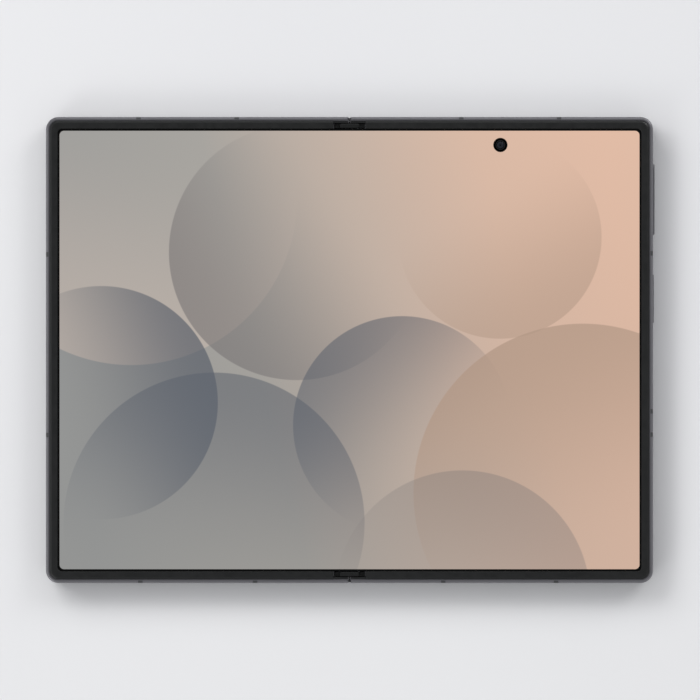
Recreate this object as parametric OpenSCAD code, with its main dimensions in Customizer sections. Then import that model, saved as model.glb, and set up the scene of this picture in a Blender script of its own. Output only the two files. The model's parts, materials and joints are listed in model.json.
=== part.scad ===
// Foldable smartphone, opened flat and lying on its back.
// +X runs from the hinge to the edge with the keys, +Y to the top edge, +Z out of the inner display.
// x = 0 is the hinge's centre line, and z = 0 is the plane of the rear camera rings' faces.
// Heights named *_z below are measured from the back plane of the two halves.

/* [Overall] */
// Width of the opened phone, without the keys
open_w = 161.4; // [156:0.1:176]
// Height of the phone along its hinge
body_h = 123.9; // [122:0.1:150]
// Thickness of one half, from back glass to bezel
half_t = 4.9; // [4.8:0.1:5.9]
// Radius of the four outer corners
corner_r = 3.3; // [2.6:0.1:5]
// Gap between the halves at the hinge line
seam = 0.1; // [0.06:0.02:0.2]

/* [Shell] */
// Thickness of the side walls
side_wall = 1.6; // [1.4:0.1:2]
// Width of the metal rim beside the bezel
rim_w = 0.8; // [0.7:0.05:1]
// Width of the groove between the metal rim and the bezel
rim_gap = 0.25; // [0.05:0.05:0.3]
// How far the metal rim lies below the bezel
rim_drop = 0.2; // [0.1:0.05:0.4]
// Rounding of the rim's long edges
rim_edge_r = 0.6; // [0.2:0.05:0.7]
// Thickness of the back glass and of the outer display's glass
glass_t = 0.5; // [0.4:0.05:0.6]
// Width of the metal seen round the back glass
glass_inset = 0.8; // [0.6:0.1:1.2]
// Thickness of the mid plate under the inner display
plate_t = 0.6; // [0.4:0.1:0.8]
// Width of the bezel
bezel_w = 2.05; // [1.9:0.05:2.6]
// Rounding of the bezel's outer edge
bezel_edge_r = 0.5; // [0.1:0.05:0.6]
// Length of the break in the bezel at the hinge
bezel_break = 8.6; // [8.6:0.1:12]
// Width of an antenna band
band_w = 1.2; // [0.8:0.1:2]

/* [Inner display] */
// Thickness of the folding display
display_t = 0.45; // [0.3:0.05:0.6]
// How far the display lies below the bezel
display_drop = 0.25; // [0.15:0.05:0.4]
// Width of the display's folding strip
strip_w = 16; // [15.6:0.1:18]
// Corner radius of the bezel's opening
opening_r = 1.2; // [0.5:0.1:2]
// Diameter of the inner camera's hole
punch_d = 3.7; // [3:0.1:5]
// Distance of the inner camera from the hinge line
punch_x = 40.1; // [20:0.1:60]
// Distance of the inner camera from the top edge
punch_edge = 7.45; // [6.5:0.05:10]

/* [Keys and tray] */
// Length of the volume key
volume_l = 19.1; // [14:0.1:22]
// Distance of the volume key's middle from the top edge
volume_edge = 21.9; // [16:0.1:24]
// How far the volume key stands out
volume_out = 0.45; // [0.3:0.05:0.6]
// Length of the side key
side_key_l = 13.3; // [9:0.1:15]
// Distance of the side key's middle from the top edge
side_key_edge = 48.3; // [44:0.1:52]
// How far the side key stands out
side_key_out = 0.25; // [0.2:0.05:0.5]
// Width of both keys
key_w = 2; // [1.4:0.1:2.4]
// Travel of both keys
key_travel = 0.2; // [0.1:0.05:0.25]
// Running gap round the keys and the tray
key_gap = 0.08; // [0.05:0.01:0.15]
// Length of the tray's face along the edge
tray_l = 15.2; // [14:0.1:18]
// Depth of the tray
tray_depth = 19; // [16:0.5:20]
// Distance of the tray's middle from the top edge
tray_edge = 56; // [50:0.5:60]

/* [Rear cameras] */
// Height of the camera island above the back glass
island_t = 1; // [0.6:0.1:1.4]
// Width of the camera island
island_w = 17.4; // [16:0.1:20]
// Distance between two cameras
camera_pitch = 16.4; // [14.4:0.1:18]
// Distance of the island from the side and top edges
island_edge = 4.2; // [3.5:0.1:6]
// Outer diameter of a camera ring
ring_d = 13.2; // [11:0.1:14]
// Height of a camera ring above the island
ring_t = 0.6; // [0.3:0.1:1]
// Diameter of a camera glass
lens_d = 10.8; // [8:0.1:10.8]

/* [Hinge] */
// Distance of each fold axis from the hinge's centre line
axis_x = 1.35; // [1.3:0.05:1.45]
// Thickness of the spine cover
spine_wall = 0.3; // [0.2:0.02:0.34]
// Running gap between the spine cover and the back glass
spine_gap = 0.1; // [0.06:0.02:0.16]
// Distance of a hinge module's outer end from the top or bottom edge
module_edge = 5.5; // [4:0.1:8]
// Teeth of each gear
gear_teeth = 10; // [10:2:12]
// Pitch radius of the gears
gear_pitch_r = 0.75; // [0.74:0.01:0.78]
// Radius of the gear shafts
shaft_r = 0.28; // [0.2:0.01:0.3]
// Running gap of the gears on their shafts
shaft_gap = 0.03; // [0.02:0.01:0.05]
// Turns of a detent spring
spring_turns = 7; // [4:1:9]

/* [Hidden] */
$fn = 48;

// Places along the width, from the hinge line
half_w = open_w / 2;
half_h = body_h / 2;
pocket_x = 7.8;           // end of the hinge pocket, where the frame's inner wall starts
inner_wall = 3;           // thickness of that inner wall
cavity_x = pocket_x + inner_wall;
back_z = island_t + ring_t;   // height of the halves' back plane above the floor
touch = 0.05;             // gap between a fixed piece and the wall beside it

// Heights from the back plane
rim_z = half_t - rim_drop;
display_top_z = half_t - display_drop;
ledge_z = display_top_z - display_t;
plate_z = ledge_z - plate_t;

// Fold axes: the inner ends of the two halves roll on each other round these axes
roll_r = axis_x - seam / 2;
axis_z = half_t - roll_r;
spine_r = axis_z - glass_t - spine_gap;
spine_in_r = spine_r - spine_wall;
spine_top_z = axis_z - 0.3;
end_gap = 0.15;           // between the spine and the halves' end walls
spine_h = half_h - side_wall - end_gap;
block_r = spine_in_r - 0.02;

// Gears: four in a row, and the outer two turn on the axes of the swing arms
arm_x = 3 * gear_pitch_r;
arm_drop = arm_x - axis_x;
gear_z = axis_z - arm_drop;
gear_module = 2 * gear_pitch_r / gear_teeth;
gear_tip_r = gear_pitch_r + 0.8 * gear_module;
gear_root_r = gear_pitch_r - 1.2 * gear_module;
knuckle_r = gear_root_r + 0.14;

// Stations of a hinge module along the height, counted from its outer end towards the middle
module_y = half_h - module_edge;
main_slider_y = module_y - 4.5;      // each station's outer end is its value here plus its length
cover_slider_y = module_y - 10.5;
slider_l = 4;
block_a_y = module_y - 11.7;
gear_l = 2.4;
gear_y = block_a_y - 0.2 - gear_l;
arm_l = 3.8;
arm_y = gear_y - 0.2 - arm_l;
knuckle_y = arm_y - 0.2;
bridge_l = 1.7;
bridge_y = knuckle_y - 0.4 - bridge_l;
spring_l = 6.6;
spring_y = bridge_y - 0.05 - spring_l;
block_b_l = 2.1;
block_b_y = spring_y - 0.05 - block_b_l;

// Arc sliders: rails of the leaves that run in grooves round the fold axes
rail_in_r = 1.75;
rail_out_r = 2.3;
rail_gap = 0.05;
notch_angle = 26;         // the spine cover's wall is cut above this angle at the stations

// Hinge leaves
leaf_x = axis_x + spine_r + 0.35;
leaf_end_x = pocket_x - 0.1;
leaf_low_z = glass_t + 0.05;
leaf_top_z = leaf_low_z + 1.65;
flange_x = 7;
flange_end_x = cavity_x - 0.4;
flange_z = plate_z - 0.7;
flange_t = 0.6;
leaf_l = 20;
arm_t = 0.5;
arm_z = glass_t + 0.5;
arm_end_x = leaf_end_x - 0.2;

// Wing plates
wing_t = 0.35;
wing_top_z = ledge_z - 0.05;
wing_low_z = wing_top_z - wing_t;
wing_x = 2.6;
wing_end_x = 7.4;
wing_notch_x = leaf_x + 0.1;
wing_end_gap = 1.85;      // between a wing's end and the side wall
wing_h = half_h - side_wall - wing_end_gap;
pin_x = 7.3;
pin_z = wing_low_z - 0.6;
pin_r = 0.3;
pin_stations = [14, 23];
pin_l = 7;
lug_l = 3;
lug_r = 0.5;

// Inner display
bezel_u = rim_w + rim_gap;
opening_u = bezel_u + bezel_w;
display_x = strip_w / 2;
display_h = half_h - opening_u - touch;
punch_y = half_h - punch_edge;

// Middles of the antenna bands: along the top and bottom edges, and down the side edge
main_top_bands = [29.7, 55.7];
main_bottom_bands = [24.9, 54.9];
main_side_bands = [for (edge = [36.25, 78.25, 84.45]) half_h - edge];
cover_top_bands = [30, 56.1];
cover_bottom_bands = [25.1, 55.6];
cover_side_bands = [for (edge = [36.55, 84.55]) half_h - edge];

// Keys
volume_y = half_h - volume_edge;
side_key_y = half_h - side_key_edge;
key_z = half_t / 2;
key_t = 1.1;              // thickness of a key's bar, pressed in
stem_r = 0.5;
key_wall = 2.7;           // thickness of the side wall behind the keys
switch_t = 0.7;

// SIM tray
tray_y = half_h - tray_edge;
tray_t = 1;
tray_w = 2.2;              // height of the tray's face
tray_face_t = 1;
tray_z = half_t / 2;

// Rear cameras
island_x = half_w - island_edge - island_w / 2;
island_y = half_h - island_edge - island_w / 2 - camera_pitch;
camera_box = 11;
barrel_r = 4;
lens_t = 0.4;
flash_r = 0.85;
flash_x = island_x - island_w / 2 + 2.05;
flash_y = island_y + camera_pitch / 2;

// Inner pieces
board_t = 0.7;
can_t = 1;
usb_x = half_w / 2;
usb_w = 8.94;
usb_h = 3.2;
usb_l = 7.4;
usb_wall = 0.3;
usb_pin = 0.7;
screw_head_r = 0.75;
screw_r = 0.4;

metal = [0.37, 0.365, 0.385];
rim_plastic = [0.15, 0.155, 0.155];
band_plastic = [0.25, 0.25, 0.26];
steel = [0.62, 0.63, 0.65];
dark = [0.06, 0.06, 0.07];

// ---- Shared shapes ----

// Lifts what is drawn from the back plane to its height above the floor
module raised() {
    translate([0, 0, back_z])
        children();
}

// Extrudes an outline drawn in x and z along the height, from y0 to y1
module along_y(y0, y1) {
    translate([0, y1, 0])
        rotate([90, 0, 0])
            linear_extrude(y1 - y0)
                children();
}

// Draws a module at the top end of the hinge and its mirror image at the bottom end
module both_ends() {
    for (m = [0, 1])
        mirror([0, m, 0])
            children();
}

module slab(x0, x1, y0, y1, z0, z1) {
    translate([x0, y0, z0])
        cube([x1 - x0, y1 - y0, z1 - z0]);
}

// Rectangle with round corners, about its middle
module rounded_rect(w, h, r) {
    square([w - 2 * r, h], center = true);
    square([w, h - 2 * r], center = true);
    for (sx = [-1, 1], sy = [-1, 1])
        translate([sx * (w / 2 - r), sy * (h / 2 - r)])
            circle(r);
}

// Bar with half-round ends, about its middle
module oval(w, h) {
    square([w - h, h], center = true);
    for (s = [-1, 1])
        translate([s * (w - h) / 2, 0])
            circle(h / 2);
}

// Plan of one half from x0 outwards, inset from its outer edges, with corners of radius r
module half_plan(x0, inset, r) {
    w = half_w - inset;
    h = half_h - inset;
    translate([x0, -h])
        square([w - r - x0, 2 * h]);
    translate([x0, r - h])
        square([w - x0, 2 * (h - r)]);
    for (s = [-1, 1])
        translate([w - r, s * (h - r)])
            circle(r);
}

module half_slab(x0, inset, r, z0, z1) {
    translate([0, 0, z0])
        linear_extrude(z1 - z0)
            half_plan(x0, inset, r);
}

// Sweeps a profile, drawn in distance from the outer edge and height, round the three outer edges from x0
module edge_sweep(x0) {
    side = half_h - corner_r;
    for (m = [0, 1])
        mirror([0, m, 0])
            translate([half_w - corner_r, side, 0])
                union() {
                    rotate_extrude(angle = 90)
                        translate([corner_r, 0])
                            mirror([1, 0])
                                children();
                    rotate([0, 0, 90])
                        translate([0, half_w - corner_r - x0, 0])
                            rotate([90, 0, 0])
                                linear_extrude(half_w - corner_r - x0)
                                    translate([corner_r, 0])
                                        mirror([1, 0])
                                            children();
                }
    translate([half_w - corner_r, side, 0])
        rotate([90, 0, 0])
            linear_extrude(2 * side)
                translate([corner_r, 0])
                    mirror([1, 0])
                        children();
}

// What rounds a corner at the origin by radius r, for a body in +x and +y
module corner_cut(r) {
    difference() {
        translate([-1, -1])
            square([1 + r, 1 + r]);
        translate([r, r])
            circle(r);
    }
}

// Metal rim seen from outside, with its two round edges
module rim_profile() {
    difference() {
        polygon([
            [0, 0], [glass_inset, 0], [glass_inset, glass_t], [rim_w, glass_t], [rim_w, rim_z], [0, rim_z]
        ]);
        corner_cut(rim_edge_r);
        translate([0, rim_z])
            mirror([0, 1])
                corner_cut(rim_edge_r);
    }
}

module wall_profile() {
    rim_profile();
    translate([rim_w - 0.01, glass_t])
        square([side_wall - rim_w + 0.01, ledge_z - glass_t]);
}

// The part of the rim that a band takes the place of
module band_profile() {
    intersection() {
        rim_profile();
        translate([-1, -1])
            square([1 + rim_w - 0.1, half_t + 2]);
    }
}

// Draws the child profile as bars of the bands' width across the rim
module at_bands(top, bottom, side) {
    for (x = top)
        translate([x + band_w / 2, half_h, 0])
            rotate([0, 0, -90])
                rotate([90, 0, 0])
                    linear_extrude(band_w)
                        children();
    for (x = bottom)
        translate([x - band_w / 2, -half_h, 0])
            rotate([0, 0, 90])
                rotate([90, 0, 0])
                    linear_extrude(band_w)
                        children();
    for (y = side)
        translate([half_w, y + band_w / 2, 0])
            rotate([90, 0, 0])
                linear_extrude(band_w)
                    mirror([1, 0])
                        children();
}

// What is cut from a half so that its inner end rolls round the fold axis, with a small V at the seam
module roll_cut() {
    v = 0.25;
    difference() {
        slab(-1, axis_x, -half_h - 1, half_h + 1, axis_z, half_t + 1);
        along_y(-half_h - 2, half_h + 2)
            translate([axis_x, axis_z])
                circle(roll_r);
    }
    for (s = [-1, 1])
        translate([seam / 2, s * half_h, -1])
            rotate([0, 0, 45])
                translate([-v, -v, 0])
                    cube([2 * v, 2 * v, half_t + 2]);
}

// Point at an angle below the fold axis, counted from straight outwards
function below_axis(r, angle) = [axis_x + r * cos(angle), axis_z - r * sin(angle)];

// Ring piece about the fold axis, between two angles of at most 180 degrees in all
module arc_piece(r0, r1, from, to) {
    far = 3 * r1;
    steps = 6;
    intersection() {
        difference() {
            translate([axis_x, axis_z])
                circle(r1);
            translate([axis_x, axis_z])
                circle(r0);
        }
        polygon(concat(
            [[axis_x, axis_z]],
            [for (i = [0:steps]) below_axis(far, from + i * (to - from) / steps)]
        ));
    }
}

// Screw standing in a seat at height z, head up
module screw(x, y, z, len) {
    translate([x, y, z])
        cylinder(h = 0.35, r = screw_head_r);
    translate([x, y, z - len])
        cylinder(h = len, r = screw_r);
}

module screw_hole(x, y, z, len) {
    translate([x, y, z - len])
        cylinder(h = len + 0.01, r = screw_r);
}

// ---- Frame of one half ----

leaf_y1 = module_y + 0.5;
leaf_y0 = leaf_y1 - leaf_l;
leaf_screw_x = (pocket_x + flange_end_x) / 2;
leaf_screws = [leaf_y0 + 2, (leaf_y0 + leaf_y1) / 2, leaf_y1 - 2];
leaf_screw_l = 1.4;
cell_bar_y = 5.4;         // bar of the frame between the battery and the board
cell_bar_w = 1.2;
foot_bar_y = -44.5;       // bar of the frame between the battery and the charging board
ribbon_y = 8.2;
ribbon_w = 4;
ribbon_z = spine_top_z + 0.08;
ribbon_t = 0.12;

module frame_solid() {
    inner_h = half_h - side_wall + 0.1;
    edge_sweep(seam / 2)
        wall_profile();
    half_slab(pocket_x, side_wall - 0.1, corner_r - side_wall + 0.1, plate_z, ledge_z);
    slab(pocket_x, cavity_x, -inner_h, inner_h, glass_t, plate_z + 0.1);
    slab(seam / 2, glass_inset + seam / 2, -inner_h, inner_h, 0, glass_t);
    for (y = [cell_bar_y, foot_bar_y])
        slab(cavity_x - 0.1, half_w - side_wall + 0.1, y - cell_bar_w / 2, y + cell_bar_w / 2,
             glass_t + 0.6, plate_z + 0.1);
    for (y = pin_stations, s = [-1, 1], e = [-1, 1])
        pin_ear(s * y + e * (pin_l / 2 - 0.9));
}

module pin_ear(y) {
    w = 1.6;
    along_y(y - w / 2, y + w / 2)
        union() {
            translate([pin_x, pin_z])
                circle(lug_r);
            translate([pin_x, pin_z - lug_r])
                square([pocket_x - pin_x + 0.1, 2 * lug_r]);
        }
}

module frame_cuts() {
    roll_cut();
    // seats of the hinge leaves' flanges, and their screw holes
    both_ends() {
        slab(pocket_x - 1, flange_end_x + touch, leaf_y0 - touch, leaf_y1 + touch, flange_z, half_t);
        for (y = leaf_screws)
            screw_hole(leaf_screw_x, y, flange_z, leaf_screw_l);
    }
    // slots that the ribbon cables pass through
    both_ends()
        slab(pocket_x - 0.1, cavity_x + 0.1, ribbon_y - ribbon_w / 2 - 0.2, ribbon_y + ribbon_w / 2 + 0.2,
             ribbon_z - 0.08, ribbon_z + ribbon_t + 0.06);
    // wing pins
    for (y = pin_stations, s = [-1, 1])
        along_y(s * y - pin_l / 2, s * y + pin_l / 2)
            translate([pin_x, pin_z])
                circle(pin_r);
}

// Pocket for a key in the side wall, with holes for its two stems
module key_cut(y, len) {
    bar_x = half_w - key_t - key_travel - 0.05;
    translate([bar_x, y, key_z])
        rotate([90, 0, 90])
            linear_extrude(key_t + 2)
                oval(len + 2 * key_gap, key_w + 2 * key_gap);
    for (s = [-1, 1])
        translate([half_w - key_wall - 1, y + s * len / 4, key_z])
            rotate([0, 90, 0])
                cylinder(h = key_wall + 1, r = stem_r + key_gap);
}

// A row of round-ended slots through the bottom or top wall, centred at x
module slot_row(x, y, count, pitch, slot_w, slot_h, z) {
    for (i = [0:count - 1])
        translate([x + (i - (count - 1) / 2) * pitch, y + side_wall + 1, z])
            rotate([90, 0, 0])
                linear_extrude(2 * side_wall + 2)
                    oval(slot_w, slot_h);
}

// A microphone's hole through the top or bottom wall
module mic_hole(x, y) {
    translate([x, y + side_wall + 1, half_t / 2])
        rotate([90, 0, 0])
            cylinder(h = 2 * side_wall + 2, r = 0.5);
}

module main_frame() {
    raised() color(metal)
        difference() {
            union() {
                frame_solid();
                for (k = [[volume_y, volume_l], [side_key_y, side_key_l]])
                    slab(half_w - key_wall, half_w - side_wall + 0.1,
                         k[0] - k[1] / 2 - 1, k[0] + k[1] / 2 + 1, glass_t, plate_z + 0.1);
            }
            frame_cuts();
            key_cut(volume_y, volume_l);
            key_cut(side_key_y, side_key_l);
            at_bands(main_top_bands, main_bottom_bands, main_side_bands)
                band_profile();
            // USB-C mouth, loudspeaker slots and microphone hole
            translate([usb_x, 1 - half_h + side_wall, half_t / 2])
                rotate([90, 0, 0])
                    linear_extrude(side_wall + 2)
                        oval(usb_w - 2 * usb_wall, usb_h - 2 * usb_wall);
            slot_row(speaker_x, -half_h, 5, 3, 2.1, 1.1, half_t / 2);
            mic_hole(usb_x - 10, -half_h);
            // seats of the USB-C receptacle and the inner camera in the mid plate
            slab(usb_x - usb_w / 2 - touch, usb_x + usb_w / 2 + touch, side_wall - half_h,
                 side_wall + usb_l + touch - half_h, half_t / 2, (half_t + usb_h) / 2 + touch);
            translate([punch_x, punch_y, plate_z - 1])
                cylinder(h = plate_t + 2, r = punch_d / 2);
        }
}

module cover_frame() {
    raised() color(metal)
        mirror([1, 0, 0])
            difference() {
                frame_solid();
                frame_cuts();
                at_bands(cover_top_bands, cover_bottom_bands, cover_side_bands)
                    band_profile();
                slot_row(earpiece_x, half_h, 7, 2.6, 1.9, 0.9, half_t / 2);
                mic_hole(earpiece_x - 14, half_h);
                tray_cut();
            }
}

module main_bands() {
    raised() color(band_plastic)
        at_bands(main_top_bands, main_bottom_bands, main_side_bands)
            band_profile();
}

module cover_bands() {
    raised() color(band_plastic)
        mirror([1, 0, 0])
            at_bands(cover_top_bands, cover_bottom_bands, cover_side_bands)
                band_profile();
}

// ---- Bezel ----

module bezel_edge_profile() {
    w = 1.2;
    h = half_t - ledge_z;
    translate([bezel_u, half_t])
        mirror([0, 1])
            difference() {
                square([w, h]);
                corner_cut(min(bezel_edge_r, h - touch));
            }
}

// The bezel stops at its break, where only its thin lip goes on over the side wall to the hinge line
module bezel_half() {
    x0 = bezel_break / 2;
    lap = bezel_u + bezel_edge_r;
    lip_t = 0.18;
    edge_sweep(x0)
        bezel_edge_profile();
    translate([0, 0, ledge_z])
        linear_extrude(half_t - ledge_z)
            difference() {
                half_plan(x0, lap, corner_r - lap);
                half_plan(x0 - 1, opening_u, opening_r);
            }
    difference() {
        both_ends()
            slab(seam / 2, x0 + touch, half_h - side_wall, half_h - bezel_u, ledge_z, ledge_z + lip_t);
        roll_cut();
    }
}

module main_bezel() {
    raised() color(rim_plastic)
        bezel_half();
}

module cover_bezel() {
    raised() color(rim_plastic)
        mirror([1, 0, 0])
            bezel_half();
}

// ---- Glass ----

module back_plate() {
    edge = glass_inset + touch;
    half_slab(seam / 2 + edge, edge, corner_r - edge, 0, glass_t);
}

module island_plan(grow) {
    rotate(90)
        oval(island_w + 2 * camera_pitch + 2 * grow, island_w + 2 * grow);
}

module main_back_glass() {
    raised() color([0.2, 0.21, 0.24])
        difference() {
            back_plate();
            translate([island_x, island_y, -1])
                linear_extrude(glass_t + 2)
                    island_plan(-0.5);
        }
}

module cover_glass() {
    raised() color(dark)
        mirror([1, 0, 0])
            back_plate();
}

// ---- Rear cameras ----

module at_cameras() {
    for (i = [-1:1])
        translate([island_x, island_y + i * camera_pitch, 0])
            children();
}

module camera_island() {
    raised() color(metal)
        difference() {
            union() {
                translate([island_x, island_y, -island_t])
                    linear_extrude(island_t)
                        island_plan(0);
                translate([island_x, island_y, -0.1])
                    linear_extrude(glass_t + 0.1)
                        island_plan(-0.5 - touch);
            }
            at_cameras()
                translate([0, 0, -island_t - 1])
                    cylinder(h = 4, r = barrel_r + touch);
            translate([flash_x, flash_y, -island_t - 1])
                cylinder(h = 1.5, r = flash_r);
        }
}

module camera_rings() {
    raised() color(steel)
        at_cameras()
            translate([0, 0, -island_t - ring_t])
                difference() {
                    cylinder(h = ring_t, r = ring_d / 2);
                    translate([0, 0, -1])
                        cylinder(h = ring_t + 2, r = lens_d / 2);
                }
}

module camera_glasses() {
    raised() color(dark)
        at_cameras()
            translate([0, 0, -island_t - lens_t])
                cylinder(h = lens_t, r = lens_d / 2);
}

module flash_window() {
    raised() color([0.9, 0.88, 0.75])
        translate([flash_x, flash_y, -island_t])
            cylinder(h = 0.5, r = flash_r);
}

module rear_cameras() {
    raised() color(dark)
        at_cameras() {
            translate([0, 0, -island_t])
                difference() {
                    cylinder(h = island_t + glass_t + 0.3, r = barrel_r);
                    translate([0, 0, -0.1])
                        cylinder(h = 0.5, r1 = 3.2, r2 = 2.2);
                }
            translate([-camera_box / 2, -camera_box / 2, glass_t + touch])
                cube([camera_box, camera_box, plate_z - glass_t - touch]);
        }
}

module inner_camera() {
    box = 5.4;
    raised() color(dark)
        translate([punch_x, punch_y, 0])
            difference() {
                union() {
                    translate([-box / 2, -box / 2, plate_z - 1.6])
                        cube([box, box, 1.6]);
                    translate([0, 0, plate_z - 0.1])
                        cylinder(h = display_top_z - 0.05 - plate_z + 0.1, r = punch_d / 2 - touch);
                }
                translate([0, 0, display_top_z - 0.45])
                    cylinder(h = 1, r = 1.1);
            }
}

module inner_camera_lens() {
    raised() color([0.05, 0.06, 0.1])
        translate([punch_x, punch_y, display_top_z - 0.45])
            intersection() {
                cylinder(h = 0.3, r = 1.1 - 0.02);
                translate([0, 0, -2.4])
                    sphere(2.7);
            }
}

// ---- Inner pieces of the main half ----

battery_x0 = cavity_x + 0.6;
main_battery_x1 = half_w - side_wall - 3.2;
speaker_x = half_w - 15;

module main_battery() {
    r = 1;
    y0 = foot_bar_y + cell_bar_w / 2 + 0.4;
    y1 = cell_bar_y - cell_bar_w / 2 - 0.4;
    raised() color([0.2, 0.2, 0.22])
        translate([(battery_x0 + main_battery_x1) / 2, (y0 + y1) / 2, glass_t + 0.35])
            linear_extrude(plate_z - glass_t - 0.35)
                rounded_rect(main_battery_x1 - battery_x0, y1 - y0, r);
}

board_y0 = cell_bar_y + cell_bar_w / 2 + 0.5;
board_y1 = half_h - side_wall - 1;
board_z = plate_z - can_t - board_t;
board_x1 = island_x - camera_box / 2 - 0.6;
board_screws = [[battery_x0 + 1.6, board_y0 + 1.6], [battery_x0 + 1.6, board_y1 - 1.6],
                [board_x1 - 1.6, board_y0 + 1.6], [board_x1 - 1.6, board_y1 - 1.6]];

module board_pillar(p) {
    translate([p[0], p[1], board_z + board_t])
        cylinder(h = plate_z - board_z - board_t, r = 1.1);
}

module main_board() {
    raised() color([0.06, 0.2, 0.12])
        difference() {
            union() {
                slab(battery_x0, board_x1, board_y0, board_y1, board_z, board_z + board_t);
                for (p = board_screws)
                    board_pillar(p);
            }
            translate([punch_x - 3, punch_y - 3, board_z - 1])
                cube([6, half_h, can_t + board_t + 2]);
            for (p = board_screws)
                translate([p[0], p[1], board_z - 1])
                    cylinder(h = board_t + 2, r = screw_r);
        }
}

// Shield cans stand on the board, three in a row on its display side and one wide one on its back
module main_shields() {
    w = (board_x1 - battery_x0 - 7) / 3;
    raised() color(steel) {
        for (i = [0:2])
            slab(battery_x0 + 3 + i * (w + 0.5), battery_x0 + 3 + i * (w + 0.5) + w,
                 board_y0 + 3.4, board_y0 + 24, board_z + board_t, plate_z - 0.1);
        slab(battery_x0 + 4, board_x1 - 4, board_y0 + 3, board_y1 - 12, leaf_low_z + 0.15, board_z);
    }
}

module charging_board() {
    y1 = foot_bar_y - cell_bar_w / 2 - 0.4;
    raised() color([0.06, 0.2, 0.12])
        difference() {
            slab(battery_x0, speaker_x - 9, side_wall + 0.2 - half_h, y1, plate_z - 0.5, plate_z);
            slab(usb_x - usb_w / 2 - 0.1, usb_x + usb_w / 2 + 0.1, -half_h, side_wall + usb_l + 0.1 - half_h,
                 0, half_t);
        }
}

// USB-C receptacle: an oval steel shell that is closed at the back, with its contact tongue
module usb_port() {
    raised() color(steel)
        translate([usb_x, -half_h + side_wall + usb_l, half_t / 2])
            rotate([90, 0, 0])
                union() {
                    difference() {
                        linear_extrude(usb_l)
                            oval(usb_w, usb_h);
                        translate([0, 0, 1])
                            linear_extrude(usb_l)
                                oval(usb_w - 2 * usb_wall, usb_h - 2 * usb_wall);
                    }
                    translate([-3.35, -usb_pin / 2, 0.9])
                        cube([6.7, usb_pin, usb_l - 1.6]);
                }
}

module loudspeaker() {
    y0 = side_wall + 0.2 - half_h;
    y1 = foot_bar_y - cell_bar_w / 2 - 0.4;
    raised() color(dark)
        slab(speaker_x - 8.6, speaker_x + 8.6, y0, y1, leaf_low_z + 0.15, plate_z);
}

module vibration_motor() {
    w = 3.6;
    l = 9;
    raised() color(steel)
        translate([half_w - side_wall - 0.3 - w / 2, foot_bar_y - cell_bar_w / 2 - 1 - l / 2, glass_t + 0.2])
            linear_extrude(plate_z - glass_t - 0.2)
                rounded_rect(w, l, 1.2);
}

coil_y = -12;
module charging_coil() {
    raised() color([0.7, 0.4, 0.2])
        translate([(battery_x0 + main_battery_x1) / 2, coil_y, glass_t])
            difference() {
                cylinder(h = 0.3, r = 21);
                translate([0, 0, -1])
                    cylinder(h = 3, r = 10);
            }
}

module key_switches() {
    raised() color(dark)
        for (k = [[volume_y, volume_l], [side_key_y, side_key_l]]) {
            slab(half_w - key_wall - switch_t - 0.25, half_w - key_wall - switch_t,
                 k[0] - k[1] / 2, k[0] + k[1] / 2, key_z - 0.8, key_z + 0.8);
            for (s = [-1, 1])
                translate([half_w - key_wall - switch_t - 0.01, k[0] + s * k[1] / 4, key_z])
                    rotate([0, 90, 0])
                        cylinder(h = switch_t - 2 * key_travel, r = 0.7);
        }
}

magnet_y = [-36, -14];
magnet_l = 14;
magnet_w = 2.3;
module magnet_row() {
    for (y = magnet_y)
        slab(half_w - side_wall - 0.1 - magnet_w, half_w - side_wall - 0.1,
             y - magnet_l / 2, y + magnet_l / 2, panel_z + 0.1, plate_z);
}

module main_magnets() {
    raised() color(steel)
        magnet_row();
}

module cover_magnets() {
    raised() color(steel)
        mirror([1, 0, 0])
            magnet_row();
}

// ---- Keys and SIM tray ----

// A key's bar with rounded ends and a chamfered face, on two stems that reach its switch
module key_piece(y, len, out) {
    chamfer = min(out, 0.25);
    bar_x = half_w - key_t;
    for (part = [[bar_x, half_w + out - chamfer, 0], [bar_x, half_w + out, chamfer]])
        translate([part[0], y, key_z])
            rotate([90, 0, 90])
                linear_extrude(part[1] - part[0])
                    oval(len - 2 * part[2], key_w - 2 * part[2]);
    for (s = [-1, 1])
        translate([half_w - key_wall - key_travel + 0.02, y + s * len / 4, key_z])
            rotate([0, 90, 0])
                cylinder(h = key_wall - key_t + key_travel + 0.1, r = stem_r);
}

module volume_key() {
    raised() color(metal)
        key_piece(volume_y, volume_l, volume_out);
}

module side_key() {
    raised() color(metal)
        key_piece(side_key_y, side_key_l, side_key_out);
}

// Drawn for the +X side and mirrored with its half
module tray_cut() {
    translate([half_w - tray_face_t - key_gap, tray_y, tray_z])
        rotate([90, 0, 90])
            linear_extrude(tray_face_t + 2)
                oval(tray_l + 2 * key_gap, tray_w + 2 * key_gap);
    slab(half_w - tray_depth - 1, half_w, tray_y - 6.7, tray_y + 6.7,
         tray_z - tray_t / 2 - key_gap, tray_z + tray_t / 2 + key_gap);
}

module sim_tray() {
    raised() color(metal)
        mirror([1, 0, 0])
            difference() {
                union() {
                    translate([half_w - tray_face_t, tray_y, tray_z])
                        rotate([90, 0, 90])
                            linear_extrude(tray_face_t)
                                oval(tray_l, tray_w);
                    slab(half_w - tray_depth, half_w - tray_face_t + 0.1, tray_y - 6.6, tray_y + 6.6,
                         tray_z - tray_t / 2, tray_z + tray_t / 2);
                }
                slab(half_w - tray_depth + 2, half_w - tray_face_t - 1.4, tray_y - 4.5, tray_y + 4.5,
                     tray_z - 0.3, tray_z + tray_t);
                translate([half_w - tray_face_t - 2, tray_y + tray_l / 2 - 1.6, tray_z])
                    rotate([0, 90, 0])
                        cylinder(h = 4, r = 0.4);
            }
}

// ---- Inner pieces of the cover half ----

panel_t = 0.7;
panel_z = glass_t + panel_t;

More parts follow.
